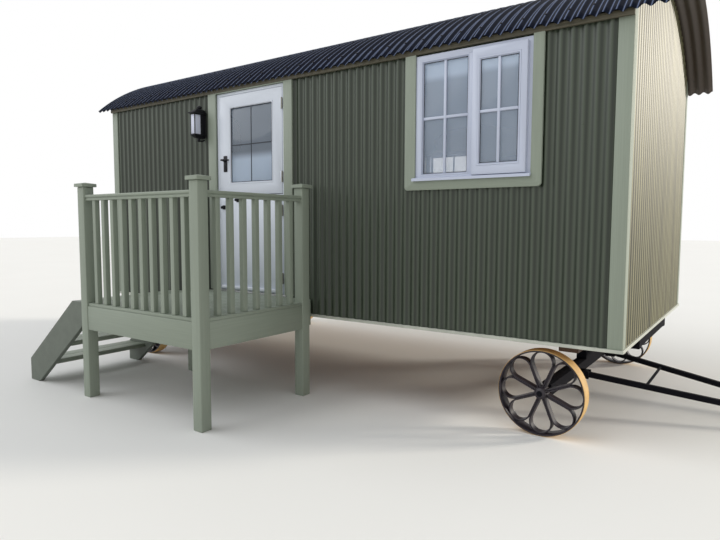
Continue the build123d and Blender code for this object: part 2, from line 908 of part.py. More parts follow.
with BuildPart() as rear_axle:
    axle_beam(rear_axle_x)
    block(
        centred(rear_axle_x, axle_beam_size),
        (middle_y - bolster_half_length, middle_y + bolster_half_length),
        (beam_z[1], rail_bottom),
    )
save("rear_axle", rear_axle.part)

# Wheels with looped petal spokes
rim_inner_radius = wheel_radius - rim_thickness
petal_centre = rim_inner_radius + petal_rim_overlap - petal_radius
petal_root = hub_radius + petal_root_radius - petal_hub_overlap
petal_lean = pi / 2 + asin((petal_radius - petal_root_radius) / (petal_centre - petal_root))


def petal_outline(strip, mode):
    """Draw one petal as a wide arc at the rim and a narrow one at the hub, both stepped."""
    points = []
    for step in range(petal_wide_steps + 1):
        angle = petal_lean * (1 - 2 * step / petal_wide_steps)
        radius = petal_radius - strip
        points.append((petal_centre + radius * cos(angle), radius * sin(angle)))
    for step in range(petal_root_steps + 1):
        angle = -petal_lean - 2 * (pi - petal_lean) * step / petal_root_steps
        radius = petal_root_radius - strip
        points.append((petal_root + radius * cos(angle), radius * sin(angle)))
    with BuildLine() as outline:
        Polyline(*points, close=True)
    make_face(outline.edges(), mode=mode)


with BuildSketch() as petal:
    petal_outline(0, Mode.ADD)
    petal_outline(petal_strip, Mode.SUBTRACT)

wheel_places = {
    "front_left_wheel": (front_axle_x, 1),
    "front_right_wheel": (front_axle_x, -1),
    "rear_left_wheel": (rear_axle_x, 1),
    "rear_right_wheel": (rear_axle_x, -1),
}
for wheel_name, (axle_x, side) in wheel_places.items():
    wheel_plane = Plane(
        origin=(axle_x, middle_y + side * wheel_middle, wheel_centre_z),
        x_dir=(1, 0, 0),
        z_dir=(0, -1, 0),
    )
    with BuildPart() as wheel:
        with BuildSketch(wheel_plane):
            RegularPolygon(wheel_radius, rim_sides)
            RegularPolygon(rim_inner_radius, rim_sides, mode=Mode.SUBTRACT)
        extrude(amount=wheel_width / 2, both=True)
        with BuildSketch(wheel_plane):
            with PolarLocations(0, petal_count):
                add(petal.sketch)
        extrude(amount=petal_depth / 2, both=True)
        with BuildSketch(wheel_plane):
            RegularPolygon(hub_radius, hub_sides)
        extrude(amount=hub_length / 2, both=True)
        with BuildSketch(wheel_plane):
            Circle(stub_radius + hub_bore_gap)
        extrude(amount=hub_length / 2, both=True, mode=Mode.SUBTRACT)
    save(wheel_name, wheel.part)

# Drawbar, an A-frame resting its towing eye on the ground
eye_x = right_x + drawbar_reach - tow_eye_outer_radius
head_x = eye_x - drawbar_head_length
bar_end_x = (head_x + eye_x) / 2
head_half_width = drawbar_head_half_spread + drawbar_bar / 2
tie_x = right_x - drawbar_tie_setback
tie_share = (tie_x - drawbar_pivot_x) / (bar_end_x - drawbar_pivot_x)
tie_half = drawbar_half_spread - tie_share * (drawbar_half_spread - drawbar_head_half_spread)
tie_z = drawbar_pivot_z - tie_share * (drawbar_pivot_z - drawbar_head_lift)
with BuildPart() as drawbar:
    for side in (-1, 1):
        pivot_y = middle_y + side * drawbar_half_spread
        start = Vector(drawbar_pivot_x, pivot_y, drawbar_pivot_z)
        end = Vector(bar_end_x, middle_y + side * drawbar_head_half_spread, drawbar_head_lift)
        run = end - start
        bar_plane = Plane(origin=start, x_dir=run.cross(Vector(0, 0, 1)), z_dir=run)
        with BuildSketch(bar_plane):
            Rectangle(drawbar_bar, drawbar_bar)
        extrude(amount=run.length)
        pivot_plane = Plane(origin=start, z_dir=(0, -1, 0))
        turned(pivot_plane, drawbar_boss_radius, drawbar_bar / 2, both=True)
        with BuildSketch(pivot_plane):
            Circle(drawbar_pin_radius + drawbar_pin_gap)
        extrude(amount=drawbar_bar, both=True, mode=Mode.SUBTRACT)
    tie_plane = Plane(origin=(tie_x, middle_y, tie_z), z_dir=(0, -1, 0))
    turned(tie_plane, drawbar_tie_radius, tie_half, both=True)
    with BuildSketch() as head:
        with Locations((head_x, middle_y)):
            Rectangle(drawbar_bar, 2 * head_half_width, align=(Align.MIN, Align.CENTER))
        with Locations((eye_x, middle_y)):
            Circle(tow_eye_outer_radius)
        make_hull()
        with Locations((eye_x, middle_y)):
            Circle(tow_eye_radius, mode=Mode.SUBTRACT)
    extrude(amount=tow_eye_thickness)
save("drawbar", drawbar.part)

# Deck posts with bevelled caps
deck_x = (from_right(deck_right + deck_width), from_right(deck_right))
post_starts_x = (deck_x[0], deck_x[1] - post_size)
post_starts_y = (front_y - deck_reach, front_y - post_wall_gap - post_size)
post_top = deck_top + post_rise
cap_width = post_size + 2 * cap_overhang
cap_plate_top = post_top + cap_plate_height
with BuildPart() as deck_posts:
    for post_x in post_starts_x:
        for post_y in post_starts_y:
            post_centre = (post_x + post_size / 2, post_y + post_size / 2)
            block((post_x, post_x + post_size), (post_y, post_y + post_size), (0, post_top))
            block(
                centred(post_centre[0], cap_width),
                centred(post_centre[1], cap_width),
                (post_top, cap_plate_top),
            )
            frustum(
                post_centre,
                (cap_plate_top, cap_width),
                (cap_plate_top + cap_bevel_height, cap_top_width),
            )
save("deck_posts", deck_posts.part)

# Deck fascia, joists and boards
joist_top = deck_top - deck_board_thickness
fascia_z = (joist_top - deck_fascia_height, joist_top)
between_posts_x = inset(deck_x, post_size)
between_posts_y = (post_starts_y[0] + post_size, post_starts_y[1])
fascia_front_y = front_y - deck_reach + fascia_inset
ledger_back_y = front_y - flashing_proud
ledger_front_y = ledger_back_y - deck_fascia_thickness
trim_z = (joist_top - fascia_trim_height, joist_top)
with BuildPart() as deck_fascia:
    for lip, height_span in ((0, fascia_z), (fascia_trim_proud, trim_z)):
        block(
            between_posts_x,
            (fascia_front_y - lip, fascia_front_y + deck_fascia_thickness),
            height_span,
        )
        for side_x in (deck_x[0] + fascia_inset, deck_x[1] - fascia_inset - deck_fascia_thickness):
            block(
                inset((side_x, side_x + deck_fascia_thickness), -lip),
                between_posts_y,
                height_span,
            )
    block(between_posts_x, (ledger_front_y, ledger_back_y), fascia_z)
save("deck_fascia", deck_fascia.part)

joist_gap = (between_posts_x[1] - between_posts_x[0]) / (joist_count + 1)
with BuildPart() as deck_joists:
    for index in range(joist_count):
        block(
            centred(between_posts_x[0] + (index + 1) * joist_gap, joist_width),
            (fascia_front_y + deck_fascia_thickness, ledger_front_y),
            (joist_top - joist_depth, joist_top),
        )
save("deck_joists", deck_joists.part)

with BuildPart() as deck_boards:
    block(
        deck_x,
        (front_y - deck_reach + deck_edge_inset, front_y - deck_wall_gap),
        (joist_top, deck_top),
    )
    for post_x in post_starts_x:
        for notch_y in (
            (post_starts_y[0], post_starts_y[0] + post_size),
            (post_starts_y[1], front_y),
        ):
            block(
                (post_x, post_x + post_size),
                notch_y,
                (joist_top, deck_top),
                mode=Mode.SUBTRACT,
            )
save("deck_boards", deck_boards.part)

# Balustrades
handrail_top = deck_top + handrail_rise
handrail_bottom = handrail_top - handrail_height
rail_line_y = front_y - deck_reach + post_size / 2
rail_line_x = deck_x[1] - post_size / 2


def baluster_middles(span, count):
    """Give the middles of evenly spaced balusters between two posts."""
    clear = (span[1] - span[0] - count * baluster_size) / (count + 1)
    first = span[0] + clear + baluster_size / 2
    return [first + index * (clear + baluster_size) for index in range(count)]


with BuildPart() as front_balustrade:
    block(
        between_posts_x,
        centred(rail_line_y, handrail_width),
        (handrail_bottom, handrail_top),
    )
    for baluster_x in baluster_middles(between_posts_x, front_baluster_count):
        block(
            centred(baluster_x, baluster_size),
            centred(rail_line_y, baluster_size),
            (deck_top, handrail_bottom),
        )
save("front_balustrade", front_balustrade.part)

with BuildPart() as side_balustrade:
    block(
        centred(rail_line_x, handrail_width),
        between_posts_y,
        (handrail_bottom, handrail_top),
    )
    for baluster_y in baluster_middles(between_posts_y, side_baluster_count):
        block(
            centred(rail_line_x, baluster_size),
            centred(baluster_y, baluster_size),
            (deck_top, handrail_bottom),
        )
save("side_balustrade", side_balustrade.part)

# Steps with open risers between two stringers
riser = deck_top / riser_count
tread_count = riser_count - 1
stair_slope = atan2(riser, tread_going)
top_edge_x = deck_x[0] - top_tread_reach
foot_x = top_edge_x - tread_count * tread_going
stringer_drop = stringer_depth / cos(stair_slope)
lower_start_z = deck_top + top_tread_reach * tan(stair_slope) - stringer_drop
heel_x = top_edge_x - (deck_top - stringer_drop) / tan(stair_slope)
stringer_starts_y = (fascia_front_y, between_posts_y[1] - stringer_thickness)
with BuildPart() as step_stringers:
    for stringer_y in stringer_starts_y:
        with BuildSketch(Plane.XZ.offset(-stringer_y)):
            with BuildLine():
                Polyline(
                    (deck_x[0], deck_top),
                    (top_edge_x, deck_top),
                    (foot_x, deck_top - tread_count * riser),
                    (foot_x, 0),
                    (heel_x, 0),
                    (deck_x[0], lower_start_z),
                    close=True,
                )
            make_face()
        extrude(amount=-stringer_thickness)
save("step_stringers", step_stringers.part)

tread_y = (stringer_starts_y[0] + stringer_thickness, stringer_starts_y[1])
with BuildPart() as step_treads:
    block((top_edge_x, deck_x[0]), tread_y, (joist_top, deck_top))
    for index in range(1, riser_count):
        tread_front_x = top_edge_x - index * tread_going
        tread_top = deck_top - index * riser
        block(
            (tread_front_x, tread_front_x + tread_going + tread_nosing),
            tread_y,
            (tread_top - tread_thickness, tread_top),
        )
save("step_treads", step_treads.part)
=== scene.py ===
"""The looks of the shepherds hut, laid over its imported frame, in metres.

+X runs along the hut towards the drawbar, +Y from the entrance side to the back, +Z up.
"""

import bmesh
import bpy
import numpy as np
from bpy.props import FloatProperty, FloatVectorProperty, IntProperty, PointerProperty
from bpy.types import Operator, Panel, PropertyGroup
from mathutils import Matrix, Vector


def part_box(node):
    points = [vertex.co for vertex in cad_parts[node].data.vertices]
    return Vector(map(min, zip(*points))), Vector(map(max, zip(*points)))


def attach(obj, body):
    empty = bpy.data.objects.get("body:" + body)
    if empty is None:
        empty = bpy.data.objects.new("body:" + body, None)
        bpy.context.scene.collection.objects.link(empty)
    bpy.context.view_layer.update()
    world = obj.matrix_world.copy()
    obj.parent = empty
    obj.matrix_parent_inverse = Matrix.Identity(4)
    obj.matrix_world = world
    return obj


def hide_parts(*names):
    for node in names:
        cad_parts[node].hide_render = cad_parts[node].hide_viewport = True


bl_info = {
    "name": "Shepherds hut",
    "version": (1, 0, 0),
    "blender": (4, 5, 0),
    "location": "View3D > Sidebar > Hut",
    "description": "Builds the surfaces and finishes of a shepherds hut over its frame",
    "category": "Add Mesh",
}

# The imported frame, and its box before anything is laid over it
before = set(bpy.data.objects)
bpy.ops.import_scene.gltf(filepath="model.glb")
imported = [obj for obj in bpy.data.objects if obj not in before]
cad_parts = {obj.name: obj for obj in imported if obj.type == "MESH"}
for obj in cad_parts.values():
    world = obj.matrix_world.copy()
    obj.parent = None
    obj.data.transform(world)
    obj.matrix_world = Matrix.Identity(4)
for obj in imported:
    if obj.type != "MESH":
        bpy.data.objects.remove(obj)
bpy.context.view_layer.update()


def low(node, axis):
    """The lowest coordinate of a node along an axis, 0 to 2."""
    return float(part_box(node)[0][axis])


def high(node, axis):
    """The highest coordinate of a node along an axis, 0 to 2."""
    return float(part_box(node)[1][axis])


def span(node, axis):
    """The low and high coordinate of a node along an axis."""
    return (low(node, axis), high(node, axis))


def spans(node):
    """The spans of a node along X, Y and Z."""
    return tuple(span(node, axis) for axis in range(3))


def front_box(node):
    """A node's box seen from the front: x low, x high, z low, z high."""
    return (*span(node, 0), *span(node, 2))


# Planes that several pieces share, read from the frame
X_LEFT = low("left_end_cladding", 0)
X_RIGHT = high("right_end_cladding", 0)
Y_FRONT = low("front_cladding", 1)
Y_BACK = high("back_cladding", 1)
Y_MIDDLE = (Y_FRONT + Y_BACK) / 2
Z_SHEET_FOOT = low("front_cladding", 2)
DECK_TOP = high("deck_boards", 2)

# Points this close are one point, and faces turned by less than this are one face
MERGE_DISTANCE = 1e-5
FLAT_ANGLE = np.radians(1)

# Edges of a node's copy that turn by more than these look sharp, and are eased
SHARP_ANGLE = np.radians(35)
CORNER_ANGLE = np.radians(50)

# Turns a board's place into a seed, so that no two boards share their grain
SEED_STEP = 7.3


def linear(code):
    """Turn an sRGB hex colour into linear red, green and blue."""
    shares = [int(code[start:start + 2], 16) / 255 for start in (1, 3, 5)]
    return tuple(c / 12.92 if c <= 0.04045 else ((c + 0.055) / 1.055) ** 2.4 for c in shares)


def length(name, description, default):
    """A size property in metres."""
    return FloatProperty(name=name, description=description, default=default, unit="LENGTH")


def colour(name, description, code):
    """A colour property that starts from an sRGB hex value."""
    return FloatVectorProperty(
        name=name, description=description, default=linear(code), subtype="COLOR", size=3
    )


class HutSizes(PropertyGroup):
    """Sizes of the details that the frame doesn't hold."""

    pitch: length("Corrugation pitch", "From crest to crest of the sheets", 0.0762)
    wall_wave: length("Wall wave depth", "From crest to valley of the wall sheets", 0.016)
    wall_sheet: length("Wall sheet depth", "From the crest back to the wall", 0.020)
    roof_radius: length("Roof radius", "To the crests of the roof sheet", 2.081)
    roof_wave: length("Roof wave depth", "From crest to valley of the roof sheet", 0.017)
    roof_cut: length("Roof sheet cut", "How far each long edge is trimmed back", 0.030)
    roof_sheet: length("Roof sheet thickness", "Of the coated steel", 0.001)
    screw_radius: length("Screw radius", "Of a sheeting screw's washer", 0.009)
    ease: length("Eased edge", "Radius of the sanded edges of the timber", 0.003)
    board: length("Deck board width", "Of one board with its gap", 0.1395)
    board_gap: length("Deck board gap", "Between two boards", 0.005)
    glazing_bar: length("Glazing bar width", "Of the front window's bars", 0.020)
    door_bar: length("Door bar width", "Of the thin bars in the door's glass", 0.009)
    bead: length("Glazing bead", "Width of the bead round each pane", 0.016)
    seal: length("Seal width", "Of the dark seal that shows round each pane", 0.004)
    hinge: length("Hinge height", "Of both knuckles together", 0.100)
    baluster: length("Baluster size", "Side of a square baluster", 0.041)
    post: length("Post size", "Side of a square deck post", 0.090)
    front_balusters: IntProperty(name="Front balusters", description="Their count", default=10)
    side_balusters: IntProperty(name="Side balusters", description="Their count", default=7)
    petals: IntProperty(name="Petals", description="Looped spokes of a wheel", default=8)


class HutColours(PropertyGroup):
    """Colours of the finishes."""

    # Painted highlight: the wall sheets' crests and valleys take the lighter crest colour for the
    # sky's reflection, and the green between them is set darker to keep the mean tone
    green: colour("Wall sheets", "Olive green coating", "#272f24")
    green_highlight: colour("Wall crests", "Olive coating where it has chalked", "#475042")
    # A sunlit copy of the wall sheets' colours, for the right end alone: its warmer olive is
    # painted sunlight, and its cream crest and valley lines are painted highlights of the low sun
    sunlit_end_green: colour("Sunny end", "Olive coating bleached on the right end", "#2f3122")
    sunlit_end_highlight: colour("Sunny end crests", "Bleached coating where it has chalked", "#959068")
    # Painted highlight and shade: the roof's crests and valleys take the pale crest colour for the
    # sky's reflection, and the near-black slate between them is painted shade on the flanks
    slate: colour("Roof sheet", "Slate blue coating", "#0d1220")
    slate_highlight: colour("Roof crests", "Slate coating where it has chalked", "#8492b4")
    brown: colour("Sheet back", "Brown backing coat of the roof sheet", "#4a4038")
    sage: colour("Sage paint", "Trims, posts and balustrades", "#899284")
    flashing: colour("Flashing", "Pale green folded metal", "#b4b7ac")
    eaves: colour("Eaves boards", "Weathered stained wood", "#5c5748")
    white: colour("White window", "Foiled plastic of the window frames", "#bcc3d5")
    door_white: colour("White door", "Factory paint of the door and its frame", "#d0d6e1")
    # The panes' colour is a painted reflection of the sky
    glass: colour("Glass", "Panes that mirror an overcast sky", "#9aa7b8")
    frosted: colour("Frosted glass", "Panes of the lantern", "#d8dcee")
    black: colour("Black iron", "Powder coat on handle and lantern", "#17171c")
    iron: colour("Wheel iron", "Bitumen paint on the cast wheels", "#241e26")
    # Partly the worn steel's own tan and partly painted sunlight: the tan is set light so that the
    # treads look lit by the low sun
    tread: colour("Tyre", "Worn steel of the wheels' treads", "#d0aa6c")
    # A darker copy of the sage paint for the step stringers
    stringer: colour("Step stringers", "Sage paint greyed by the ground's dirt", "#5f665c")
    timber: colour("Bolster", "Brown oiled oak", "#5a4332")
    eaves_grain: colour("Eaves grain", "Dark growth lines of the eaves boards", "#3d3a2a")
    joist: colour("Joists", "Pressure treated softwood", "#8a7a58")
    joist_grain: colour("Joist grain", "Dark growth lines of the joists", "#6b5c40")
    steel: colour("Hinge steel", "Plated knuckles of the door's hinges", "#8c8a84")
    aluminium: colour("Threshold", "Mill-finished bar under the door", "#b9babb")
    seal: colour("Seals", "Rubber round the panes", "#2b2f38")
    lining: colour("Lining", "Painted matchboard inside", "#d8d3c6")
    floorboards: colour("Floorboards", "Oiled oak inside", "#9a7550")
    stage: colour("Stage floor", "Pale studio floor", "#e8e8e6")


def sizes():
    """The size properties of the open scene."""
    return bpy.context.scene.hut_sizes


def colours():
    """The colour properties of the open scene."""
    return bpy.context.scene.hut_colours


# Surfaces


def skin(rings, closed=False, lay=None):
    """Cover a (rings, points, 3) array: each cell between two rings becomes a quad, every
    ring is a closed loop, and the first and last rings are capped unless they join. The
    shape is given back as points, faces and lay. The lay says where each point lies on its
    piece, for the finishes that follow the surface."""
    count, size = rings.shape[:2]
    row = np.arange(count if closed else count - 1)[:, None] * size
    after = (row + size) % (count * size)
    column = np.arange(size)[None, :]
    beside = (column + 1) % size
    cells = np.stack([row + column, row + beside, after + beside, after + column], axis=-1)
    faces = cells.reshape(-1, 4).tolist()
    if not closed:
        faces += [list(range(size)), list(range((count - 1) * size, count * size))]
    lay = np.zeros(rings.shape) if lay is None else lay
    return rings.reshape(-1, 3), faces, lay.reshape(-1, 3)


def join(shapes):
    """Put several shapes into one, with their face numbers moved on."""
    points, faces, lay, start = [], [], [], 0
    for shape_points, shape_faces, shape_lay in shapes:
        points.append(shape_points)
        lay.append(shape_lay)
        faces += [[start + index for index in face] for face in shape_faces]
        start += len(shape_points)
    return np.concatenate(points), faces, np.concatenate(lay)


def rounded_rectangle(width, depth, radius, steps=4):
    """Points round a rectangle whose corners are quarter circles: corner centre plus radius
    times (cos, sin). The loop starts in the middle of a corner."""
    turn = np.radians(np.arange(4)[:, None] * 90 + np.linspace(0, 90, steps)[None, :])
    signs = np.sign(np.stack([np.cos(turn.mean(1)), np.sin(turn.mean(1))], axis=-1))
    centres = signs * (np.array([width, depth]) / 2 - radius)
    points = centres[:, None, :] + radius * np.stack([np.cos(turn), np.sin(turn)], axis=-1)
    return np.roll(points.reshape(-1, 2), -steps // 2, axis=0)


def bar(x_span, y_span, z_span, ease=None, along=None):
    """A board or bar: a rounded rectangle carried along its longest side, or along the given
    axis, and drawn in at both ends by the same ease. Its lay is (along, around, seed)."""
    ends = np.array([x_span, y_span, z_span], float)
    ends.sort(axis=1)
    size = ends[:, 1] - ends[:, 0]
    ease = min(sizes().ease if ease is None else ease, 0.45 * size.min())
    axis = int(np.argmax(size)) if along is None else along
    across, up = (axis + 1) % 3, (axis + 2) % 3
    drawn_in = 0.7 * ease
    rings, stations = [], (0, ease, size[axis] - ease, size[axis])
    for station, inset in zip(stations, (drawn_in, 0, 0, drawn_in)):
        section = rounded_rectangle(
            size[across] - 2 * inset, size[up] - 2 * inset, max(ease - inset, 0.2 * ease)
        )
        ring = np.zeros((len(section), 3))
        ring[:, axis] = ends[axis, 0] + station
        ring[:, across] = section[:, 0] + ends[across].mean()
        ring[:, up] = section[:, 1] + ends[up].mean()
        rings.append(ring)
    rings = np.stack(rings)
    steps = np.linalg.norm(np.diff(rings[1], axis=0), axis=1)
    lay = np.zeros(rings.shape)
    lay[..., 0] = rings[..., axis]
    lay[..., 1] = np.concatenate([[0], np.cumsum(steps)])[None, :]
    lay[..., 2] = ends.sum() * SEED_STEP
    return skin(rings, lay=lay)


def pane_ring(outer, inner, section, y_face):
    """A mitred frame in an upright plane. outer and inner are (x low, x high, z low, z high),
    and section is a loop of (share from outer to inner, depth behind y_face)."""
    corners = [(0, 2), (1, 2), (1, 3), (0, 3)]
    outer_points = np.array([(outer[a], outer[b]) for a, b in corners])[:, None, :]
    inner_points = np.array([(inner[a], inner[b]) for a, b in corners])[:, None, :]
    share = np.array(section)[None, :, :1]
    flat = outer_points + share * (inner_points - outer_points)
    depth = np.broadcast_to(y_face + np.array(section)[None, :, 1:], flat.shape[:2] + (1,))
    rings = np.concatenate([flat[..., :1], depth, flat[..., 1:]], axis=-1)
    return skin(rings, closed=True)


def eased_section(depth, ease_share, ease):
    """A frame member's section for pane_ring, with both front edges eased."""
    return [
        (0, depth), (0, ease), (0.3 * ease_share, 0.3 * ease), (ease_share, 0),
        (1 - ease_share, 0), (1 - 0.3 * ease_share, 0.3 * ease), (1, ease), (1, depth),
    ]


def grown(box, margin):
    """A pane's box (x low, x high, z low, z high) made larger on all sides."""
    return (box[0] - margin, box[1] + margin, box[2] - margin, box[3] + margin)


def near(values, ends, margin):
    """Which of the values lie between two ends, or within a margin of them."""
    return (values > ends[0] - margin) & (values < ends[1] + margin)


def changed(shape, change):
    """A shape whose points are changed by a function of their whole array."""
    points, faces, lay = shape
    return change(points), faces, lay


def turned(profile, centre, axis, steps=48, closed=False):
    """A turned shape: each (distance, radius) of the profile becomes a circle round the line
    through centre along axis: centre + distance axis + radius (cos e1 + sin e2)."""
    axis = np.array(axis, float) / np.linalg.norm(axis)
    helper = np.array([0, 0, 1.0]) if abs(axis[2]) < 0.9 else np.array([1.0, 0, 0])
    first = np.cross(axis, helper)
    first /= np.linalg.norm(first)
    second = np.cross(axis, first)
    turn = np.linspace(0, 2 * np.pi, steps, endpoint=False)
    circle = np.cos(turn)[:, None] * first + np.sin(turn)[:, None] * second
    profile = np.array(profile, float)
    rings = np.array(centre) + profile[:, :1, None] * axis + profile[:, 1:, None] * circle
    lay = np.zeros(rings.shape)
    lay[..., 0] = profile[:, :1]
    return skin(rings, closed=closed, lay=lay)


def carried(section, path, side, closed=False):
    """A section of (sideways, outward) points carried along a path. side is the fixed
    sideways direction, and outward is side crossed with the path's own direction."""
    path, side = np.array(path, float), np.array(side, float)
    if closed:
        forward = np.roll(path, -1, axis=0) - np.roll(path, 1, axis=0)
    else:
        forward = np.gradient(path, axis=0)
    forward /= np.linalg.norm(forward, axis=1, keepdims=True)
    outward = np.cross(side[None, :], forward)
    section = np.array(section, float)
    rings = (
        path[:, None, :]
        + section[None, :, :1] * side
        + section[None, :, 1:] * outward[:, None, :]
    )
    return skin(rings, closed=closed)


def studs(places, normals, radius, height):
    """Low domes: rings of a small dome are set at each place with its axis along the normal."""
    places, normals = np.array(places, float), np.array(normals, float)
    normals = np.broadcast_to(normals, places.shape)
    return [
        turned(
            [(-0.2 * height, radius), (0.3 * height, radius), (height, 0.55 * radius)],
            place, normal, steps=8,
        )
        for place, normal in zip(places, normals)
    ]


def wave_panel(x_span, z_span, face, back, phase_span, arc=None, depth=None):
    """A corrugated panel from crests at the face to a flat back. The face lies at
    face + depth (1 - cos(2 pi n)) / 2, where n counts waves from a crest. Its lay is
    (share of the way into the valley, height, 0). With arc=(middle, centre z, radius) the
    top follows that arc. A depth of 0 makes a flat board."""
    s = sizes()
    depth = s.wall_wave if depth is None else depth
    waves = max(1, round((phase_span[1] - phase_span[0]) / s.pitch))
    step = (phase_span[1] - phase_span[0]) / waves
    fine, clear = step / 8, 1e-4
    samples = np.arange(phase_span[0], phase_span[1] + fine / 2, fine)
    inside = samples[near(samples, x_span, -clear)]
    along = np.concatenate([[x_span[0]], inside, [x_span[1]]])
    valley = (1 + np.cos(2 * np.pi * (along - phase_span[0]) / step)) / 2
    front = face + np.sign(back - face) * depth * valley
    top = np.full(len(along), z_span[1])
    if arc:
        top = arc[1] + np.sqrt(arc[2] ** 2 - (along - arc[0]) ** 2)
    foot = np.full(len(along), z_span[0])
    flat = np.full(len(along), back)
    rings = np.stack(
        [
            np.stack([along, front, foot], axis=-1),
            np.stack([along, front, top], axis=-1),
            np.stack([along, flat, top], axis=-1),
            np.stack([along, flat, foot], axis=-1),
        ],
        axis=1,
    )
    lay = np.zeros(rings.shape)
    lay[..., 0] = valley[:, None]
    lay[..., 1] = rings[..., 2]
    return skin(rings, lay=lay)


def laid_mesh(name, points, faces, lay):
    """A smooth mesh whose points carry their lay as an attribute."""
    mesh = bpy.data.meshes.new(name)
    mesh.from_pydata(points.reshape(-1, 3).tolist(), [], faces)
    laid = mesh.attributes.new("lay", "FLOAT_VECTOR", "POINT")
    laid.data.foreach_set("vector", lay.astype(np.float32).ravel())
    mesh.polygons.foreach_set("use_smooth", np.ones(len(mesh.polygons), bool))
    return mesh


def add_object(name, mesh, body, slot, *nodes):
    """Put a mesh in the scene as one object that rides on its body and stands for nodes."""
    made = bpy.data.objects.new(name, mesh)
    bpy.context.scene.collection.objects.link(made)
    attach(made, body)
    if nodes:
        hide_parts(*nodes)
    return made


def piece(name, shapes, material, body, slot, *nodes, crease=40):
    """Make one object of closed shapes, smooth up to the crease angle in degrees."""
    mesh = laid_mesh(name, *join(shapes))
    face_outwards(mesh)
    mesh.set_sharp_from_angle(angle=np.radians(crease))
    mesh.materials.append(material)
    add_object(name, mesh, body, slot, *nodes)


def face_outwards(mesh, flatten=False):
    """Turn the faces of every closed shell outwards, and first merge loose triangles into
    flat faces where asked."""
    work = bmesh.new()
    work.from_mesh(mesh)
    if flatten:
        bmesh.ops.remove_doubles(work, verts=work.verts, dist=MERGE_DISTANCE)
        bmesh.ops.dissolve_limit(
            work, angle_limit=FLAT_ANGLE, verts=work.verts, edges=work.edges
        )
    bmesh.ops.recalc_face_normals(work, faces=work.faces)
    work.to_mesh(mesh)
    work.free()


def eased_copy(name, node, material, body, slot, ease):
    """A copy of a node with its triangles merged into flat faces, smooth up to the sharp
    angle, and its edges eased where they turn by more than the corner angle."""
    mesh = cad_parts[node].data.copy()
    mesh.name = name
    face_outwards(mesh, flatten=True)
    mesh.polygons.foreach_set("use_smooth", np.ones(len(mesh.polygons), bool))
    mesh.set_sharp_from_angle(angle=SHARP_ANGLE)
    mesh.materials.clear()
    mesh.materials.append(material)
    bevel = add_object(name, mesh, body, slot, node).modifiers.new("Eased edges", "BEVEL")
    bevel.width = ease
    bevel.segments = 2
    bevel.limit_method = "ANGLE"
    bevel.angle_limit = CORNER_ANGLE


def dress(node, material):
    """Give a node that stays its finish on all its material slots."""
    mesh_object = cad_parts[node]
    if not mesh_object.material_slots:
        mesh_object.data.materials.append(material)
    for material_slot in mesh_object.material_slots:
        material_slot.material = material


# Finishes


def put(tree, kind, inputs=None, **settings):
    """Add one node with its settings, and set or link its inputs."""
    made = tree.nodes.new(kind)
    for key, value in settings.items():
        setattr(made, key, value)
    for key, value in (inputs or {}).items():
        if isinstance(value, bpy.types.NodeSocket):
            tree.links.new(value, made.inputs[key])
        else:
            made.inputs[key].default_value = value
    return made


def new_finish(name):
    """An empty material with its shader, ready for its nodes."""
    material = bpy.data.materials.new(name)
    material.use_nodes = True
    shader = material.node_tree.nodes["Principled BSDF"]
    return material, material.node_tree, shader


def darker(rgb, share):
    """A colour scaled towards black, with full alpha."""
    return tuple(channel * share for channel in rgb) + (1.0,)


def varied(tree, vector, scale, rgb, spread, detail=3.0):
    """A colour that wanders by a share of itself over a noise of the given scale per metre."""
    noise = put(tree, "ShaderNodeTexNoise", {"Vector": vector, "Scale": scale, "Detail": detail})
    mixed = put(
        tree, "ShaderNodeMix",
        {0: noise.outputs["Fac"], 6: darker(rgb, 1 - spread), 7: darker(rgb, 1 + spread)},
        data_type="RGBA",
    )
    return mixed.outputs[2]


def bumped(tree, shader, height, strength, depth):
    """Lift the surface by a height pattern, depth metres deep."""
    bump = put(
        tree, "ShaderNodeBump",
        {"Height": height, "Strength": strength, "Distance": depth},
    )
    tree.links.new(bump.outputs["Normal"], shader.inputs["Normal"])


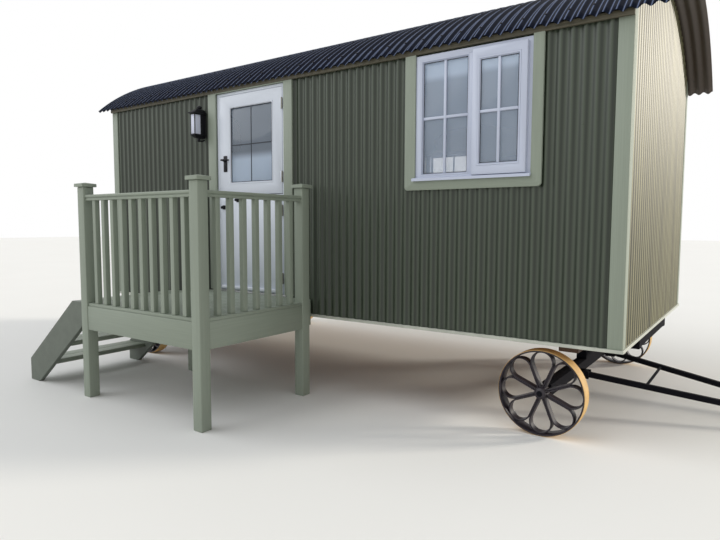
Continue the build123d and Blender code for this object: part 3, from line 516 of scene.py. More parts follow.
def coated_sheet(name, rgb, highlight, narrow, dirt_and_shade, roughness, specular=0.5, rain=0.1):
    """Coil-coated corrugated steel: satin paint with an orange peel of 1.4 mm, rain streaks
    40 mm apart, a painted shade that darkens the valleys, and a painted highlight in its own
    colour along the crests and valleys that stands in for the sky's reflection. A higher narrow
    draws the highlight to a thinner line. The fifth argument is the share of the tone that the
    painted valley shade takes away, and rain the share that the streaks take away."""
    material, tree, shader = new_finish(name)
    place = put(tree, "ShaderNodeTexCoord").outputs["Object"]
    lay = put(tree, "ShaderNodeAttribute", attribute_name="lay").outputs["Vector"]
    valley = put(tree, "ShaderNodeSeparateXYZ", {0: lay}).outputs[0]
    # Painted shade: the valleys darken, as if shaded by the sheet's own folds
    valley_shade = put(tree, "ShaderNodeMath", {0: valley, 1: 5.0}, operation="POWER").outputs[0]
    # Painted highlight: a line along each crest and valley in the highlight colour, for the sky's
    # reflection
    flank = put(tree, "ShaderNodeMapRange", {0: valley, 1: 0.0, 2: 1.0, 3: -1.0, 4: 1.0})
    line = put(tree, "ShaderNodeMath", {0: flank.outputs[0]}, operation="ABSOLUTE")
    line = put(tree, "ShaderNodeMath", {0: line.outputs[0], 1: narrow}, operation="POWER")
    highlighted = put(
        tree, "ShaderNodeMix",
        {0: line.outputs[0], 6: varied(tree, place, 1.6, rgb, 0.06), 7: darker(highlight, 1)},
        data_type="RGBA",
    )
    base = highlighted.outputs[2]
    streaks = put(tree, "ShaderNodeMapping", {"Vector": place, "Scale": (26, 26, 0.8)})
    streak = put(tree, "ShaderNodeTexNoise", {"Vector": streaks.outputs[0], "Scale": 1.0})
    streak = put(
        tree, "ShaderNodeMapRange",
        {0: streak.outputs["Fac"], 1: 0.35, 2: 0.75, 3: 1.0, 4: 1 - rain},
    )
    shade = put(
        tree, "ShaderNodeMapRange", {0: valley_shade, 1: 0.0, 2: 1.0, 3: 1.0, 4: 1 - dirt_and_shade}
    )
    shade = put(
        tree, "ShaderNodeMath",
        {0: shade.outputs[0], 1: streak.outputs[0]}, operation="MULTIPLY",
    )
    tone = put(tree, "ShaderNodeVectorMath", {0: base}, operation="SCALE")
    tree.links.new(shade.outputs[0], tone.inputs["Scale"])
    tree.links.new(tone.outputs[0], shader.inputs["Base Color"])
    peel = put(tree, "ShaderNodeTexNoise", {"Vector": place, "Scale": 700.0, "Detail": 1.0})
    bumped(tree, shader, peel.outputs["Fac"], 0.12, 0.0004)
    shader.inputs["Roughness"].default_value = roughness
    shader.inputs["Specular IOR Level"].default_value = specular
    return material


def painted_timber(name, rgb, grooves=0.0):
    """Exterior wood paint: satin, brushed along the board, with the grain just telegraphing
    through. The strokes are 6 mm apart, coarser than a brush leaves them, so that they
    show. Grooves, in metres, is the pitch of a deck board's ribs."""
    material, tree, shader = new_finish(name)
    lay = put(tree, "ShaderNodeAttribute", attribute_name="lay").outputs["Vector"]
    grain = put(tree, "ShaderNodeMapping", {"Vector": lay, "Scale": (2.5, 160, 1)})
    strokes = put(
        tree, "ShaderNodeTexNoise",
        {"Vector": grain.outputs[0], "Scale": 1.0, "Detail": 4.0, "Roughness": 0.6},
    )
    broad = put(tree, "ShaderNodeMapping", {"Vector": lay, "Scale": (1.2, 6, 1)})
    base = varied(tree, broad.outputs[0], 1.0, rgb, 0.07)
    streak = put(
        tree, "ShaderNodeMapRange",
        {0: strokes.outputs["Fac"], 1: 0.3, 2: 0.7, 3: 0.93, 4: 1.04},
    )
    tone = put(tree, "ShaderNodeVectorMath", {0: base}, operation="SCALE")
    tree.links.new(streak.outputs[0], tone.inputs["Scale"])
    tree.links.new(tone.outputs[0], shader.inputs["Base Color"])
    height = strokes.outputs["Fac"]
    depth = 0.0007
    if grooves:
        around = put(tree, "ShaderNodeSeparateXYZ", {0: lay}).outputs[1]
        turns = put(
            tree, "ShaderNodeMath", {0: around, 1: 2 * np.pi / grooves}, operation="MULTIPLY"
        )
        ribs = put(tree, "ShaderNodeMath", {0: turns.outputs[0]}, operation="SINE")
        height = ribs.outputs[0]
        depth = 0.0012
    bumped(tree, shader, height, 0.35, depth)
    shader.inputs["Roughness"].default_value = 0.52
    return material


def planed_wood(name, light, dark):
    """Bare or stained softwood, planed: matt, with growth lines 6 mm apart along the board."""
    material, tree, shader = new_finish(name)
    lay = put(tree, "ShaderNodeAttribute", attribute_name="lay").outputs["Vector"]
    grain = put(tree, "ShaderNodeMapping", {"Vector": lay, "Scale": (2.0, 160, 1)})
    lines = put(
        tree, "ShaderNodeTexNoise",
        {"Vector": grain.outputs[0], "Scale": 1.0, "Detail": 5.0, "Distortion": 0.4},
    )
    share = put(
        tree, "ShaderNodeMapRange", {0: lines.outputs["Fac"], 1: 0.3, 2: 0.7, 3: 0.0, 4: 1.0}
    )
    mixed = put(
        tree, "ShaderNodeMix",
        {0: share.outputs[0], 6: darker(dark, 1), 7: darker(light, 1)}, data_type="RGBA",
    )
    tree.links.new(mixed.outputs[2], shader.inputs["Base Color"])
    bumped(tree, shader, lines.outputs["Fac"], 0.4, 0.0008)
    shader.inputs["Roughness"].default_value = 0.62
    return material


def interior_boards(name, rgb, board):
    """Painted matchboard or oiled oak boards inside: a groove at every board's width, and a
    tone that wanders over 300 mm."""
    material, tree, shader = new_finish(name)
    place = put(tree, "ShaderNodeTexCoord").outputs["Object"]
    parts = put(tree, "ShaderNodeSeparateXYZ", {0: place})
    across = put(
        tree, "ShaderNodeMath", {0: parts.outputs[0], 1: parts.outputs[1]}, operation="ADD"
    )
    turns = put(
        tree, "ShaderNodeMath", {0: across.outputs[0], 1: board}, operation="DIVIDE"
    )
    share = put(tree, "ShaderNodeMath", {0: turns.outputs[0]}, operation="FRACT")
    groove = put(
        tree, "ShaderNodeMapRange", {0: share.outputs[0], 1: 0.0, 2: 0.05, 3: 0.0, 4: 1.0}
    )
    base = varied(tree, place, 3.0, rgb, 0.1)
    tree.links.new(base, shader.inputs["Base Color"])
    bumped(tree, shader, groove.outputs[0], 0.6, 0.003)
    shader.inputs["Roughness"].default_value = 0.6
    return material


def foiled_plastic(name, rgb):
    """Extruded white PVC-U or factory paint: even and satin, with a very faint woodgrain
    emboss. Its lines are 4 mm apart, coarser than the real ones, so that they show."""
    material, tree, shader = new_finish(name)
    place = put(tree, "ShaderNodeTexCoord").outputs["Object"]
    tree.links.new(varied(tree, place, 2.0, rgb, 0.025), shader.inputs["Base Color"])
    emboss = put(tree, "ShaderNodeMapping", {"Vector": place, "Scale": (260, 260, 12)})
    grain = put(tree, "ShaderNodeTexNoise", {"Vector": emboss.outputs[0], "Scale": 1.0})
    bumped(tree, shader, grain.outputs["Fac"], 0.06, 0.0003)
    shader.inputs["Roughness"].default_value = 0.3
    return material


def float_glass(name, rgb, alpha, roughness, painted_reflection=(0.0, 1.0, 1.0, 1.0)):
    """Double glazing under a bright sky: a smooth cool pane that mirrors more than it
    shows, less so with a lower alpha. Its tone is a painted reflection: it changes slowly
    down the pane, as reflected cloud does, over ripples of 200 mm. The last argument is a
    painted step in it: its lowest and highest height, and the tone below and above it."""
    material, tree, shader = new_finish(name)
    place = put(tree, "ShaderNodeTexCoord").outputs["Object"]
    drift = put(tree, "ShaderNodeMapping", {"Vector": place, "Scale": (0.8, 0.8, 2.2)})
    base = varied(tree, drift.outputs[0], 1.0, rgb, 0.22, detail=1.0)
    height = put(tree, "ShaderNodeSeparateXYZ", {0: place}).outputs[2]
    # Painted reflection: between two heights the tone steps from the share below to the share above
    start, end, below, above = painted_reflection
    edge = put(
        tree, "ShaderNodeMapRange", {0: height, 1: start, 2: end, 3: below, 4: above},
        interpolation_type="SMOOTHSTEP",
    )
    tone = put(tree, "ShaderNodeVectorMath", {0: base}, operation="SCALE")
    tree.links.new(edge.outputs[0], tone.inputs["Scale"])
    tree.links.new(tone.outputs[0], shader.inputs["Base Color"])
    ripple = put(tree, "ShaderNodeTexNoise", {"Vector": place, "Scale": 5.0, "Detail": 0.0})
    bumped(tree, shader, ripple.outputs["Fac"], 0.08, 0.002)
    shader.inputs["Roughness"].default_value = roughness
    shader.inputs["Alpha"].default_value = alpha
    shader.inputs["IOR"].default_value = 1.52
    material.surface_render_method = "BLENDED"
    return material


def hard_coat(name, rgb, grain, roughness, specular=0.5):
    """Paint, powder or oil on a hard body: satin, with a slightly pebbled skin. grain is the
    count of pebbles in a metre, so 500 makes them 2 mm across. Those of the wheels and of
    brushed coats are larger than real ones, so that they show."""
    material, tree, shader = new_finish(name)
    place = put(tree, "ShaderNodeTexCoord").outputs["Object"]
    tree.links.new(varied(tree, place, 9.0, rgb, 0.25), shader.inputs["Base Color"])
    skin_noise = put(
        tree, "ShaderNodeTexNoise", {"Vector": place, "Scale": grain, "Detail": 2.0}
    )
    worn = put(
        tree, "ShaderNodeMapRange",
        {0: skin_noise.outputs["Fac"], 1: 0.3, 2: 0.7, 3: roughness - 0.08, 4: roughness + 0.1},
    )
    tree.links.new(worn.outputs[0], shader.inputs["Roughness"])
    bumped(tree, shader, skin_noise.outputs["Fac"], 0.25, 0.0008)
    shader.inputs["Specular IOR Level"].default_value = specular
    return material


def worn_tread(name, rgb):
    """The steel tyre where it runs on the ground: rubbed tan and brown in patches of 70 mm,
    with grit marks. The tan is set light, partly as painted sunlight."""
    material, tree, shader = new_finish(name)
    place = put(tree, "ShaderNodeTexCoord").outputs["Object"]
    patches = put(
        tree, "ShaderNodeTexNoise", {"Vector": place, "Scale": 14.0, "Detail": 6.0}
    )
    mixed = put(
        tree, "ShaderNodeMix",
        {0: patches.outputs["Fac"], 6: darker(rgb, 0.62), 7: darker(rgb, 1.3)},
        data_type="RGBA",
    )
    tree.links.new(mixed.outputs[2], shader.inputs["Base Color"])
    bumped(tree, shader, patches.outputs["Fac"], 0.3, 0.0012)
    shader.inputs["Roughness"].default_value = 0.6
    return material


def bare_metal(name, rgb, roughness):
    """Plated or extruded metal: bright, with fine drawn lines. They are 1.1 mm apart, coarser
    than the real ones, so that they show."""
    material, tree, shader = new_finish(name)
    place = put(tree, "ShaderNodeTexCoord").outputs["Object"]
    lines = put(tree, "ShaderNodeMapping", {"Vector": place, "Scale": (8, 900, 900)})
    drawn = put(tree, "ShaderNodeTexNoise", {"Vector": lines.outputs[0], "Scale": 1.0})
    tree.links.new(varied(tree, place, 20.0, rgb, 0.08), shader.inputs["Base Color"])
    bumped(tree, shader, drawn.outputs["Fac"], 0.1, 0.0002)
    shader.inputs["Metallic"].default_value = 1.0
    shader.inputs["Roughness"].default_value = roughness
    return material


def rubber_seal(name, rgb):
    """Co-extruded rubber: matt and dark, with a tone that wanders over 17 mm."""
    material, tree, shader = new_finish(name)
    place = put(tree, "ShaderNodeTexCoord").outputs["Object"]
    tree.links.new(varied(tree, place, 60.0, rgb, 0.15), shader.inputs["Base Color"])
    shader.inputs["Roughness"].default_value = 0.75
    return material


# The finishes made so far, by name
made_finishes = {}


def finish(name):
    """The finish of that name, made once."""
    if name in made_finishes:
        return made_finishes[name]
    c = colours()
    recipes = {
        "wall_sheet": lambda: coated_sheet(
            "green_coated_sheet", c.green, c.green_highlight, 2.2, 0.1, 0.35
        ),
        # The right end's sunlit copy of the wall finish, with painted sunlight and highlights
        "end_sheet": lambda: coated_sheet(
            "painted_sunlit_coated_sheet", c.sunlit_end_green, c.sunlit_end_highlight, 1.5, 0.3, 0.45, rain=0.6
        ),
        "roof_sheet": lambda: coated_sheet(
            "slate_coated_sheet", c.slate, c.slate_highlight, 13.0, 0.0, 0.55, 0.04
        ),
        # The sheet's back takes the painted valley shade too
        "sheet_back": lambda: coated_sheet("brown_sheet_back", c.brown, c.brown, 1.0, 0.3, 0.6),
        "sage": lambda: painted_timber("sage_painted_timber", c.sage),
        "deck": lambda: painted_timber("sage_deck_board", c.sage, grooves=0.007),
        "eaves": lambda: planed_wood("stained_eaves_wood", c.eaves, c.eaves_grain),
        "joist": lambda: planed_wood("treated_joist_wood", c.joist, c.joist_grain),
        "bolster": lambda: hard_coat("oiled_oak", c.timber, 120.0, 0.6),
        "flashing": lambda: hard_coat("sage_folded_metal", c.flashing, 500.0, 0.42),
        "stringer": lambda: hard_coat("sage_stringer_paint", c.stringer, 160.0, 0.52),
        "white": lambda: foiled_plastic("white_pvcu", c.white),
        "door_white": lambda: foiled_plastic("white_door_paint", c.door_white),
        # Painted reflection: the window panes turn lighter at their top, and the door pane turns
        # darker at its top
        "glass": lambda: float_glass(
            "sealed_glass", c.glass, 0.40, 0.05, (2.48, 2.54, 1.4, 2.1)
        ),
        "door_glass": lambda: float_glass(
            "sealed_door_glass", c.glass, 0.62, 0.05, (2.04, 2.13, 1.8, 0.64)
        ),
        "back_glass": lambda: float_glass("sealed_back_glass", c.glass, 0.10, 0.05),
        "frosted": lambda: float_glass("frosted_lantern_glass", c.frosted, 0.95, 0.45),
        "black": lambda: hard_coat("black_powder_coat", c.black, 900.0, 0.5, 0.25),
        "iron": lambda: hard_coat("bitumen_painted_iron", c.iron, 220.0, 0.45),
        "chassis": lambda: hard_coat("black_chassis_steel", c.black, 150.0, 0.85, 0.06),
        "tread": lambda: worn_tread("worn_sunlit_steel_tyre", c.tread),
        "steel": lambda: bare_metal("plated_hinge_steel", c.steel, 0.4),
        "aluminium": lambda: bare_metal("threshold_aluminium", c.aluminium, 0.38),
        "seal": lambda: rubber_seal("black_glazing_seal", c.seal),
        "lining": lambda: interior_boards("painted_matchboard", c.lining, 0.095),
        "floorboards": lambda: interior_boards("oak_floorboards", c.floorboards, 0.14),
    }
    made_finishes[name] = recipes[name]()
    return made_finishes[name]


# Pieces


class HUT_OT_stage(Operator):
    """Add the pale floor, the soft light and the camera"""

    bl_idname = "hut.stage"
    bl_label = "Stage, light and camera"

    camera_place = (2.817, -4.583, 1.4454)
    camera_yaw = np.radians(35.21)
    camera_pitch = np.radians(4.50)
    camera_roll = 0.003
    focal_pixels = 577.5
    image_width = 720
    sensor = 36.0
    floor_reach = 60.0
    # What the white world gives the surfaces that it lights
    world_level = 0.66
    # Each lamp's name, where it stands, its energy, its width in degrees and its tint
    lamps = (
        ("low_sun", (0.74, 0.60, 0.25), 2.7, 9, (1.0, 0.93, 0.81)),
        ("bright_sky", (-0.70, -0.55, 0.75), 1.1, 60, (0.94, 0.97, 1.0)),
    )

    def execute(self, context):
        """Lay the floor, light it and place the camera."""
        self.floor()
        self.light(context.scene)
        self.camera(context.scene)
        context.scene.view_settings.view_transform = "Standard"
        return {"FINISHED"}

    def floor(self):
        """A wide pale floor that keeps the object's shadow."""
        reach = self.floor_reach
        corners = [(-reach, -reach, 0), (reach, -reach, 0), (reach, reach, 0), (-reach, reach, 0)]
        mesh = bpy.data.meshes.new("stage_floor")
        mesh.from_pydata(corners, [], [(0, 1, 2, 3)])
        material, tree, shader = new_finish("pale_floor")
        place = put(tree, "ShaderNodeTexCoord").outputs["Object"]
        tone = varied(tree, place, 0.6, colours().stage, 0.02)
        tree.links.new(tone, shader.inputs["Base Color"])
        shader.inputs["Roughness"].default_value = 0.9
        mesh.materials.append(material)
        floor = bpy.data.objects.new("stage_floor", mesh)
        bpy.context.scene.collection.objects.link(floor)

    def light(self, scene):
        """An even pale sky, white where the camera sees it, a wide soft lamp for its brighter
        side and a low warm sun behind the right end."""
        world = bpy.data.worlds.new("studio")
        world.use_nodes = True
        scene.world = world
        tree = world.node_tree
        tree.nodes.clear()
        path = put(tree, "ShaderNodeLightPath")
        seen = put(
            tree, "ShaderNodeMath",
            {0: path.outputs["Is Camera Ray"], 1: path.outputs["Is Glossy Ray"]},
            operation="MAXIMUM",
        )
        seen = put(
            tree, "ShaderNodeMath",
            {0: seen.outputs[0], 1: path.outputs["Is Transmission Ray"]}, operation="MAXIMUM",
        )
        strength = put(
            tree, "ShaderNodeMapRange",
            {0: seen.outputs[0], 1: 0.0, 2: 1.0, 3: self.world_level, 4: 1.0},
        )
        glow = put(
            tree, "ShaderNodeBackground",
            {"Color": (1.0, 1.0, 1.0, 1.0), "Strength": strength.outputs[0]},
        )
        put(tree, "ShaderNodeOutputWorld", {"Surface": glow.outputs[0]})
        for lamp in self.lamps:
            self.lamp(scene, *lamp)

    def lamp(self, scene, name, place, energy, width, tint):
        """A distant lamp that shines from place towards the hut, width degrees wide."""
        lamp = bpy.data.lights.new(name, "SUN")
        lamp.energy = energy
        lamp.angle = np.radians(width)
        lamp.color = tint
        made = bpy.data.objects.new(name, lamp)
        direction = np.array(place) / np.linalg.norm(place)
        side = np.cross((0, 0, 1), direction)
        side /= np.linalg.norm(side)
        axes = np.stack([side, np.cross(direction, side), direction], axis=1)
        made.matrix_world = Matrix(axes.tolist()).to_4x4()
        scene.collection.objects.link(made)

    def camera(self, scene):
        """The photograph's camera: its place, yaw left of +Y, pitch below level and roll."""
        yaw, pitch, roll = self.camera_yaw, self.camera_pitch, self.camera_roll
        forward = np.array(
            [-np.sin(yaw) * np.cos(pitch), np.cos(yaw) * np.cos(pitch), -np.sin(pitch)]
        )
        right = np.array([np.cos(yaw), np.sin(yaw), 0])
        up = np.cross(right, forward)
        tilted_right = np.cos(roll) * right + np.sin(roll) * up
        tilted_up = np.cos(roll) * up - np.sin(roll) * right
        lens = bpy.data.cameras.new("camera")
        lens.sensor_fit = "HORIZONTAL"
        lens.sensor_width = self.sensor
        lens.lens = self.focal_pixels * self.sensor / self.image_width
        lens.clip_end = 4 * self.floor_reach
        eye = bpy.data.objects.new("camera", lens)
        turn = Matrix(np.stack([tilted_right, tilted_up, -forward], axis=1).tolist()).to_4x4()
        eye.matrix_world = Matrix.Translation(self.camera_place) @ turn
        scene.collection.objects.link(eye)
        scene.camera = eye


class HUT_OT_interior(Operator):
    """Finish the walls, the floor and the roof boards that show inside"""

    bl_idname = "hut.interior"
    bl_label = "Walls, floor and roof boards"

    def execute(self, context):
        """Give each of these nodes its boards."""
        for node in (
            "front_wall_left", "front_wall_over_door", "front_wall_right", "back_wall",
            "left_end_wall", "right_end_wall",
        ):
            dress(node, finish("lining"))
        dress("floor", finish("floorboards"))
        dress("roof_boards", finish("sheet_back"))
        return {"FINISHED"}


class HUT_OT_roof(Operator):
    """Build the corrugated roof sheet and its screws"""

    bl_idname = "hut.roof"
    bl_label = "Roof sheet"

    samples_per_wave = 8
    arc_steps = 44
    # Angles from a long edge of the sheet up to each row of screws, in radians
    screw_rows = (0.081, 0.29, 0.52)
    screw_height = 0.006

    def execute(self, context):
        """Lay the sheet over the arc, then drive the screws."""
        s = sizes()
        x_span = span("roof_sheet", 0)
        waves = round((x_span[1] - x_span[0]) / s.pitch)
        half_width = (high("roof_sheet", 1) - low("roof_sheet", 1)) / 2
        centre_z = high("roof_sheet", 2) - s.roof_radius
        crest = s.roof_radius - s.roof_sheet / 2
        self.sheet(x_span, waves, half_width, centre_z, crest)
        self.screws(x_span, waves, half_width, centre_z, crest)
        return {"FINISHED"}

    def sheet(self, x_span, waves, half_width, centre_z, crest):
        """An open grid along the hut and round the arc, thickened afterwards. Its radius is
        crest - depth (1 - cos(2 pi n)) / 2, where n counts waves."""
        s = sizes()
        along = np.linspace(*x_span, waves * self.samples_per_wave + 1)
        turn = 2 * np.pi * (along - x_span[0]) / (x_span[1] - x_span[0]) * waves
        fall = (1 - np.cos(turn)) / 2
        radius = crest - (s.roof_wave - s.roof_sheet) * fall
        reach = np.arcsin(half_width / radius) - s.roof_cut / radius
        angle = reach[:, None] * np.linspace(-1, 1, self.arc_steps + 1)[None, :]
        points = np.stack(
            [
                np.broadcast_to(along[:, None], angle.shape),
                Y_MIDDLE + radius[:, None] * np.sin(angle),
                centre_z + radius[:, None] * np.cos(angle),
            ],
            axis=-1,
        )
        rows, columns = angle.shape
        corner = np.arange(rows - 1)[:, None] * columns + np.arange(columns - 1)[None, :]
        cells = np.stack([corner, corner + columns, corner + columns + 1, corner + 1], axis=-1)
        lay = np.zeros(points.shape)
        lay[..., 0] = fall[:, None]
        name = "roof_sheet_corrugated"
        mesh = laid_mesh(name, points, cells.reshape(-1, 4).tolist(), lay)
        for coating in ("roof_sheet", "sheet_back"):
            mesh.materials.append(finish(coating))
        sheet = add_object(name, mesh, "root", "slate_sheet", "roof_sheet")
        solid = sheet.modifiers.new("Sheet thickness", "SOLIDIFY")
        solid.thickness = s.roof_sheet
        solid.offset = 0
        solid.material_offset = 1

    def screws(self, x_span, waves, half_width, centre_z, crest):
        """Rows of screws along both slopes, on every second crest."""
        s = sizes()
        places, normals = [], []
        crests = x_span[0] + (x_span[1] - x_span[0]) / waves * np.arange(1, waves, 2)
        for side in (-1, 1):
            for row in self.screw_rows:
                lean = side * (np.arcsin(half_width / s.roof_radius) - row)
                out = np.array([0, np.sin(lean), np.cos(lean)])
                places += [np.array([x, Y_MIDDLE, centre_z]) + crest * out for x in crests]
                normals += [out] * len(crests)
        piece(
            "roof_screws", studs(places, normals, s.screw_radius, self.screw_height),
            finish("black"), "root", "slate_sheet",
        )


class HUT_OT_cladding(Operator):
    """Build the corrugated wall sheets and their screws"""

    bl_idname = "hut.cladding"
    bl_label = "Wall sheets"

    # Heights of the rows above the sheets' foot, and every how many waves a screw stands
    screw_heights = (0.09, 0.78, 1.42)
    screw_every = 4
    # A wall screw's radius and height
    screw_head = (0.006, 0.003)
    # How far the screws keep from a framed opening, and from the boards round one
    opening_margin = 0.16
    board_margin = 0.03

    def execute(self, context):
        """Build the two long walls, then the two ends."""
        s = sizes()
        foot, top = Z_SHEET_FOOT, high("front_cladding", 2)
        run, door, window = (
            span(node, 0) for node in ("front_cladding", "door_frame", "window_frame")
        )
        panels = [
            ((run[0], door[0]), (foot, top)),
            (door, (high("door_frame", 2), top)),
            ((door[1], window[0]), (foot, top)),
            (window, (foot, low("window_frame", 2))),
            (window, (high("window_frame", 2), top)),
            ((window[1], run[1]), (foot, top)),
        ]
        front = [wave_panel(x, z, Y_FRONT, Y_FRONT + s.wall_sheet, run) for x, z in panels]
        piece(
            "front_wall_sheets", front, finish("wall_sheet"), "root", "green_sheet",
            "front_cladding", crease=60,
        )
        light, light_z = span("back_window_frame", 0), span("back_window_frame", 2)
        back_panels = [
            ((run[0], light[0]), (foot, top)),
            (light, (foot, light_z[0])),
            (light, (light_z[1], top)),
            ((light[1], run[1]), (foot, top)),
        ]
        back = [wave_panel(x, z, Y_BACK, Y_BACK - s.wall_sheet, run) for x, z in back_panels]
        piece(
            "back_wall_sheets", back, finish("wall_sheet"), "root", "green_sheet",
            "back_cladding", crease=60,
        )
        self.end_sheet("left_end_cladding", X_LEFT, 1, finish("wall_sheet"))
        # The right end takes the sunlit copy of the finish, with its painted sunlight and
        # highlights
        self.end_sheet("right_end_cladding", X_RIGHT, -1, finish("end_sheet"))
        self.screws(run, foot, door, window)
        return {"FINISHED"}

    def end_sheet(self, node, face, inward, coating):
        """One end wall's sheet between two corner boards: panels along Y, turned into place
        by swapping X and Y."""
        s = sizes()
        crown = high(node, 2)
        centre_z = high("roof_sheet", 2) - s.roof_radius
        arc = (Y_MIDDLE, centre_z, crown - centre_z)
        y_low, y_high = span(node, 1)
        z_span, back = (Z_SHEET_FOOT, crown), face + inward * s.wall_sheet
        width = low("front_cladding", 0) - X_LEFT - s.wall_sheet
        middle = (y_low + width, y_high - width)
        sheet = wave_panel(middle, z_span, face, back, middle, arc)
        boards = [
            wave_panel(edge, z_span, face, back, edge, arc, 0.0)
            for edge in ((y_low, middle[0]), (middle[1], y_high))
        ]
        sheet, *boards = (
            changed(shape, lambda points: points[:, [1, 0, 2]]) for shape in (sheet, *boards)
        )
        piece(
            node.replace("cladding", "sheets"), [sheet], coating, "root", "green_sheet", node,
            crease=60,
        )
        piece(
            node.replace("cladding", "corner_returns"), boards, finish("sage"), "root",
            "sage_paint",
        )

    def screws(self, run, foot, door, window):
        """Rows of screws on the crests of the front and back walls, clear of the openings."""
        waves = round((run[1] - run[0]) / sizes().pitch)
        step = (run[1] - run[0]) / waves
        crests = run[0] + step * (np.arange(2, waves - 1, self.screw_every) + 0.5)
        heights = foot + np.array(self.screw_heights)
        x, z = (axis.ravel() for axis in np.meshgrid(crests, heights))
        at_door = near(x, door, self.opening_margin)
        over_board = z > low("window_surround", 2) - self.board_margin
        at_window = near(x, window, self.opening_margin) & over_board
        light_x, light_z = span("back_window_surround", 0), span("back_window_surround", 2)
        at_light = near(x, light_x, self.board_margin) & near(z, light_z, self.board_margin)
        shapes = []
        for hidden, y, out in ((at_door | at_window, Y_FRONT, -1), (at_light, Y_BACK, 1)):
            places = np.stack([x, np.full(len(x), y), z], axis=-1)[~hidden]
            shapes += studs(places, (0, out, 0), *self.screw_head)
        piece("wall_screws", shapes, finish("wall_sheet"), "root", "green_sheet")


class HUT_OT_trims(Operator):
    """Build the corner boards, eaves boards and base flashing"""

    bl_idname = "hut.trims"
    bl_label = "Corner boards, eaves and flashing"

    def execute(self, context):
        """Cut each board to the span of its node."""
        s = sizes()
        width = low("front_cladding", 0) - low("corner_boards", 0)
        z_span = span("corner_boards", 2)
        boards = [
            bar((x, x + width), (y, y + s.wall_sheet), z_span)
            for x in (X_LEFT, X_RIGHT - width)
            for y in (Y_FRONT, Y_BACK - s.wall_sheet)
        ]
        piece("corner_trim", boards, finish("sage"), "root", "sage_paint", "corner_boards")
        z_span = span("eaves_boards", 2)
        edges = ((low("eaves_boards", 1), Y_FRONT), (Y_BACK, high("eaves_boards", 1)))
        piece(
            "eaves_trim", [bar((X_LEFT, X_RIGHT), edge, z_span) for edge in edges],
            finish("eaves"), "root", "stained_wood", "eaves_boards",
        )
        eased_copy(
            "base_drip_flashing", "base_flashing", finish("flashing"), "root", "sage_metal", 0.002
        )
        return {"FINISHED"}


